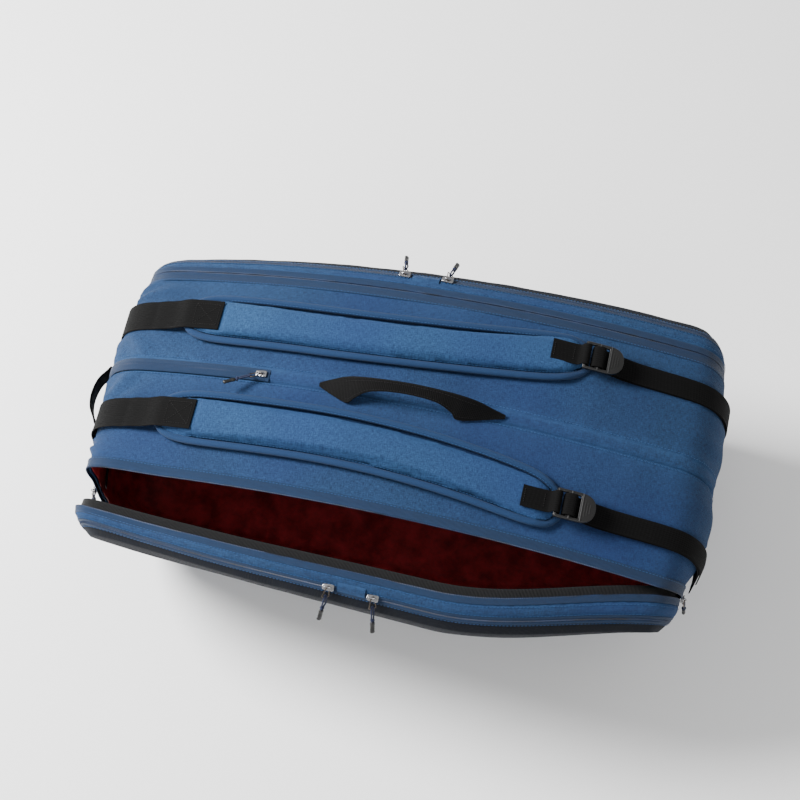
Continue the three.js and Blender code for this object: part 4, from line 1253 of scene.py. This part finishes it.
def plate_shape(outline, holes, depth, bevel):
    """A flat moulding with holes and softened edges, as a shape in its own frame."""
    curve = bpy.data.curves.new("plate", "CURVE")
    curve.dimensions, curve.fill_mode = "2D", "BOTH"
    curve.extrude, curve.bevel_depth, curve.bevel_resolution = depth / 2 - bevel, bevel, 2
    curve.offset = -bevel
    for ring in [outline] + holes:
        spline = curve.splines.new("POLY")
        spline.points.add(len(ring) - 1)
        spline.use_cyclic_u = True
        for point, (x, y) in zip(spline.points, ring):
            point.co = (x, y, 0, 1)
    holder = in_scene("plate", curve)
    bpy.context.view_layer.update()
    mesh = bpy.data.meshes.new_from_object(holder.evaluated_get(bpy.context.evaluated_depsgraph_get()))
    work = bmesh.new()
    work.from_mesh(mesh)
    bmesh.ops.remove_doubles(work, verts=work.verts, dist=0.001)
    points = np.array([v.co for v in work.verts], float)
    work.verts.index_update()
    faces = [[v.index for v in face.verts] for face in work.faces]
    work.free()
    bpy.data.objects.remove(holder)
    bpy.data.curves.remove(curve)
    bpy.data.meshes.remove(mesh)
    return points, faces, points * MM


def rounded_box(x0, x1, y0, y1, radius, count=5):
    ring = []
    for cx, cy, start in ((x1 - radius, y1 - radius, 0), (x0 + radius, y1 - radius, 1),
                          (x0 + radius, y0 + radius, 2), (x1 - radius, y0 + radius, 3)):
        for k in range(count + 1):
            turn = (start + k / count) * math.pi / 2
            ring.append((cx + radius * math.cos(turn), cy + radius * math.sin(turn)))
    return ring


def add_ladder_lock(label, side):
    half = BUCKLE_HALF_WIDTH
    left, right = bezier((26, -half), (46, -half), (46, 0), 12), bezier((46, 0), (46, half), (26, half), 12)
    corners = [(-2.2 + 1.5, half), (-2.2, half - 1.5), (-2.2, -half + 1.5), (-2.2 + 1.5, -half)]
    outline = left[:-1].tolist() + right.tolist() + corners
    slots = ((2, 12.5, half - 3.4), (19.5, 27, half - 3.7))
    holes = [rounded_box(x0, x1, -reach, reach, 1.2) for x0, x1, reach in slots]
    plate = plate_shape(outline, holes, 4.6, 0.9)
    bars = []
    for x, z, radius in ((16, 1.8, 1.5), (0.2, 1.2, 1.4), (29.5, 1.8, 1.3)):
        path = np.array([(x, y, z) for y in np.linspace(-half + 1, half - 1, 9)])
        bars.append(tube(path, radius, sides=8))
    for x in (33, 36, 39):
        reach = half * 0.55 * (1 - (x - 33) / 14)
        path = np.array([(x, y, 2.3) for y in np.linspace(-reach, reach, 7)])
        bars.append(tube(path, 0.55, sides=6))
    shape = merge([plate] + bars)
    cos, sin = math.cos(BUCKLE_TILT), math.sin(BUCKLE_TILT)
    basis = [(cos, 0, sin), (0, 1, 0), (-sin, 0, cos)]
    shape = moved(shape, basis, (BUCKLE_ORIGIN[0], BUCKLE_Y, BUCKLE_ORIGIN[1]))
    piece = make_piece(f"ladder_buckle_{label}", mirrored(shape, side), MOULDED, math.radians(35))
    attach(piece, f"{label}_ladder_lock", "moulded_black", f"ladder_lock_{label}")


def add_adjust_webbing(label, side):
    inner_y = BUCKLE_Y - NARROW_WEBBING / 2
    tail_height = STRAP_LIFT + 3
    tail = height_path([(322, tail_height), (300, tail_height), (272, tail_height + 1.4)], inner_y)
    tail_end = strap_on_profile(S_ARCH_END + 4, S_ARCH_END + 130, inner_y, STRAP_LIFT + 2.4)
    tail = np.vstack([tail_end[::-1], tail])
    turn = [(47, -9.6), (33, -5.6), (26, -4.6), (22.6, -1.4), (22.2, 2.6), (20, 4.6), (15, 4.8), (11, 3.8),
            (8.6, 1), (8.2, -3), (10.5, -6.6), (17, -8.4), (26, -9.4), (34, -11.2), (48, -15.6)]
    load = height_path([(268, STRAP_LIFT + 0.8), (290, STRAP_LIFT), (315, STRAP_LIFT)], inner_y)
    end = strap_on_profile(S_ARCH_END, S_HEAD_SEAM - 1, inner_y)
    path = through(np.vstack([tail, from_buckle(turn), load, end]), 2)
    shape = strap_shape(path, BUCKLE_Y, NARROW_WEBBING)
    piece = make_piece(f"adjust_strap_{label}", mirrored(shape, side), WEBBING_BLACK)
    bend_with_pad(piece)
    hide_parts(f"adjust_webbing_{label}")


# ------------------------------------------------------------------ handles

def add_grab_handle():
    """Webbing handle: a flat band raised over the seam, whose feet fold over and are sewn down."""
    upper = [(-97, -2, 3), (-84, 0.5, 10), (-64, 1.5, 24), (-42, 0, 34), (-14, -1, 40), (15, -1, 41.5),
             (40, -1, 40), (72, 0, 33), (94, 1, 23), (114, 0.5, 10), (127, 0, 3)]
    lower = [(-97, -5, 2), (-80, -14, 3.4), (-60, -22, 5), (-51, -18, 13), (-36, -12, 23.5), (-10, -9.5, 29),
             (20, -9.5, 30), (46, -10.5, 25.5), (64, -14, 14), (76, -18, 4.6), (127, -3, 2)]
    even = np.linspace(0, 1, 90)
    edges = []
    for stations in (upper, lower):
        line = through(np.array(stations, float), 1)
        share = path_length(line) / path_length(line)[-1]
        line = sampled(line, share, even)
        edges.append(line + np.outer(arch_height(line[:, 0]), (0, 0, 1)))
    across = np.linspace(0, 1, 8)[None, :, None]
    sheet = edges[0][:, None] * (1 - across) + edges[1][:, None] * across
    normal = np.cross(np.gradient(sheet, axis=0), np.gradient(sheet, axis=1))
    normal /= np.linalg.norm(normal, axis=2, keepdims=True)
    cloth = np.zeros(sheet.shape)
    cloth[..., 0] = path_length(edges[0])[:, None] * MM
    cloth[..., 1] = across[..., 0] * 16 * MM
    band = thick(sheet + normal * 1.3, sheet - normal * 1.3, cloth)
    facing = np.sign(normal[45, 4, 2])
    rows = []
    for column in (1, 6):
        line = sheet[:, column] + normal[:, column] * 1.4 * facing
        rows.append(stitches(line[14:-14], 3.6, 2.6, 0.38, up=(0, 0.3, 1)))
    parts = (("handle_band", band, HANDLE_BLACK), ("handle_stitching", merge(rows), DARK_THREAD))
    for name, shape, finish in parts:
        piece = make_piece(name, shape, finish)
        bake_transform(piece)
        if name == "handle_band":
            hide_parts("grab_handle")


def add_end_handle():
    points = [(-375, -66), (-378, -60), (-386, -46), (-389, -28), (-386, -8), (-378, 6), (-375, 12)]
    flat = through(np.array(points, float), 3)
    path = np.column_stack([flat, np.full(len(flat), END_HANDLE_Z)])
    band = ribbon(path, (0, 0, 1), END_HANDLE_WIDTH, 2.2, columns=7)
    add_piece("end_handle_band", band, WEBBING_BLACK, "bag", "webbing", "end_handle")


# ------------------------------------------------------------------ zip sliders

def slider_shape():
    """Slider in its own frame: X along the zip, Z up. Two plates, the post between them, the bail."""
    outline = [(-7, -2.2), (-5.5, -3.4), (0, -3.9), (5, -4.0), (7, -3.2), (7, 3.2), (5, 4.0), (0, 3.9),
               (-5.5, 3.4), (-7, 2.2)]
    top = plate_shape(outline, [], 1.2, 0.35)
    top = (top[0] + np.array([0, 0, 2.3]), top[1], top[2])
    low = plate_shape([(x * 0.96, y * 0.9) for x, y in outline], [], 1.0, 0.3)
    low = (low[0] + np.array([0, 0, 0.6]), low[1], low[2])
    post = tube([(2.5, 0, 0.6), (2.5, 0, 2.3)], 1.4, sides=10)
    bail = [(-3.6, 0, 2.8), (-3.4, 0, 4.6), (-1.6, 0, 5.5), (1.6, 0, 5.5), (3.4, 0, 4.6), (3.6, 0, 2.8)]
    return merge([top, low, post, tube(through(bail, 0.5), 0.85, sides=8, up=(0, 1, 0))])


def pull_shapes(crumpled=False):
    """Pull along +X from its pivot: wire loop, doubled cord with a knot, moulded end."""
    wire = [(-1.2, -1.6, 0), (1, -2.0, 0), (8, -3.4, 0), (12.5, -4.4, 0), (14, -3.6, 0), (14, 3.6, 0),
            (12.5, 4.4, 0), (8, 3.4, 0), (1, 2.0, 0), (-1.2, 1.6, 0)]
    wire = tube(through(wire, 1.0, closed=True), 0.62, sides=8, closed=True)
    bow = 2.6 if crumpled else 0.9
    cords = []
    for sign in (1, -1):
        line = [(13, sign * 0.9, 0.7), (17, sign * 1.5, bow * 0.4), (22, sign * (1.2 + bow * 0.3), bow * 0.6),
                (28, sign * 1.3, 0.2), (34, sign * 0.9, 0)]
        cords.append(tube(through(line, 1.0), 1.05, sides=8))
    loop = [(13, 0.9, 0.7), (12.6, 0.9, -0.9), (14.5, 0, -1.6), (12.6, -0.9, -0.9), (13, -0.9, 0.7)]
    cords.append(tube(through(loop, 0.8), 1.0, sides=8))
    knot = through([(29.5, -1.9, 0), (30, 0, 1.9), (30.5, 1.9, 0), (31, 0, -1.9)], 0.6, closed=True)
    cords.append(tube(knot, 1.1, sides=8, closed=True))
    stations = [(32.5, 1.2), (33.2, 2.6), (34.5, 3.1), (37, 3.0), (38, 2.5), (39, 3.05), (41, 2.5),
                (42, 3.05), (44, 2.6), (46, 3.2), (47.3, 2.6), (48, 1.2)]
    axis = np.array([(x, 0, 0) for x, _ in stations], float)
    end = tube(axis, [r for _, r in stations], sides=12, squash_to=0.7)
    return wire, merge(cords), end


def add_slider(name, foot, along, up, hang, side=FAR, on_cover=False, crumpled=False):
    along, up, hang = unit(along), unit(up), unit(hang)
    across = np.cross(up, along)
    foot = np.asarray(foot, float)
    turn = np.array(Vector((1, 0, 0)).rotation_difference(Vector(hang)).to_matrix()).T
    pivot = foot + up * PIVOT_HEIGHT
    place = (lambda shape: bent_open(shape, side)) if on_cover else (lambda shape: shape)
    slider = moved(slider_shape(), [along, across, up], foot)
    piece = make_piece(f"{name}_body", place(slider), METAL, math.radians(35))
    attach(piece, f"{name}_slider", "zip_slider", f"{name}_slider")
    wire, cords, end = pull_shapes(crumpled)
    for label, shape, finish in (("wire", wire, WIRE), ("cord", cords, CORD), ("grip", end, MOULDED)):
        piece = make_piece(f"{name}_{label}", place(moved(shape, turn, pivot)), finish)
        nodes = (f"{name}_pull",) if label == "grip" else ()
        attach(piece, f"{name}_pull", "zip_slider" if label == "wire" else "zip_pull", *nodes)


def arch_tangent(x):
    return unit(np.array([1, 0, arch_slope(x)]))


def arch_normal(x):
    return unit(np.array([-arch_slope(x), 0, 1]))


def arch_foot(x, y, lift):
    return np.array([x, y, arch_height(x)]) + arch_normal(x) * lift


def add_sliders():
    x = CENTRE_SLIDER_X
    add_slider("centre_zip", arch_foot(x, 0, 1.5), arch_tangent(x), arch_normal(x), (-0.84, -0.54, 0.19))
    stops = (("near_handle_end", -1, NEAR, 165, 0), ("near_head_end", 1, NEAR, 200, 0),
             ("far_upper", -1, FAR, 176, 0.6), ("far_lower", -1, FAR, 150, -0.15))
    for name, end, side, z, swing in stops:
        wall_x = (HEAD_END_X if end > 0 else HANDLE_END_X) - end * (CROWN_DROP - 1.4)
        tuck = top_swing() * zipped_share(wall_x) * (LIP_Z - z) / (LIP_Z - HINGE_Z) if side == NEAR else 0
        foot = (wall_x, side * (lip_y(wall_x) + 5) + tuck, z)
        hang = (end * 0.12, swing, -0.8 if name == "far_upper" else -1)
        add_slider(f"main_zip_{name}", foot, (0, 0, 1), (end, 0, 0), hang, side)
    share = POCKET_ZIP_SHARE
    drop = CROWN_DROP + COVER_EDGE_DROP * share ** 2.5
    for label, side in SIDES:
        for x, end, lean in POCKET_SLIDERS:
            y = side * (lip_y(x) + (outer_y(x) - lip_y(x)) * share)
            name = f"pocket_{label}_{end}"
            hang = (lean, side * 0.8, -0.6)
            foot = arch_foot(x, y, 3 - drop)
            add_slider(name, foot, arch_tangent(x), arch_normal(x), hang, side, True, crumpled=(x < 0))


# ------------------------------------------------------------------ stage, light and camera

def add_stage():
    mesh = bpy.data.meshes.new("floor")
    corners = [(FLOOR_REACH * x, FLOOR_REACH * y, 0) for x, y in ((-1, -1), (1, -1), (1, 1), (-1, 1))]
    mesh.from_pydata(corners, [], [(0, 1, 2, 3)])
    g = Graph("floor_paper")
    tone = g.noise(g.object_place, 2.0, 2.0)
    g.set(Base_Color=g.mix(tone, (0.9, 0.9, 0.9, 1), (0.94, 0.94, 0.94, 1)), Roughness=0.7)
    mesh.materials.append(g.material)
    in_scene("floor", mesh)


def add_light(name, place, aim, size, power):
    light = bpy.data.lights.new(name, "AREA")
    light.shape, light.size, light.energy = "DISK", size, power
    holder = in_scene(name, light)
    holder.location = place
    holder.rotation_euler = (Vector(aim) - Vector(place)).to_track_quat("-Z", "Y").to_euler()


def add_lights():
    world = bpy.data.worlds.new("studio")
    bpy.context.scene.world = world
    world.use_nodes = True
    background = world.node_tree.nodes["Background"]
    background.inputs["Color"].default_value = (1, 1, 1, 1)
    background.inputs["Strength"].default_value = WORLD_STRENGTH
    middle = (0, 0, 0.2)
    add_light("key", (-2.0, 0.2, 2.0), middle, 1.1, KEY_POWER)
    add_light("fill", (0.6, -2.2, 1.8), middle, 2.0, FILL_POWER)


def add_camera():
    azimuth, elevation, distance = math.radians(12.4), math.radians(66), 2250
    level = np.array([math.sin(azimuth), -math.cos(azimuth), 0]) * math.cos(elevation)
    back = level + np.array([0, 0, math.sin(elevation)])
    right = np.array([math.cos(azimuth), math.sin(azimuth), 0])
    up = np.cross(back, right)
    target = np.array([0, 0, 316])
    camera = bpy.data.cameras.new("photo_camera")
    camera.lens, camera.sensor_width = 85, 36
    holder = in_scene("photo_camera", camera)
    turn = Matrix((right, up, back)).transposed().to_4x4()
    turn.translation = Vector(to_row(target + back * distance))
    holder.matrix_world = turn
    bpy.context.scene.camera = holder


add_camera()
add_stage()
add_lights()
for label, side in SIDES:
    add_strap_panel(label, side)
    add_front_panel(label, side)
    add_lining(label, side)
    add_divider(label, side)
    add_main_zip(label, side)
    add_hinge_strip(label, side)
    add_cover(label, side)
    add_pad(label, side)
    add_anchor_webbing(label, side)
    add_buckle_loop(label, side)
    add_ladder_lock(label, side)
    add_adjust_webbing(label, side)
add_centre()
add_grab_handle()
add_end_handle()
add_sliders()
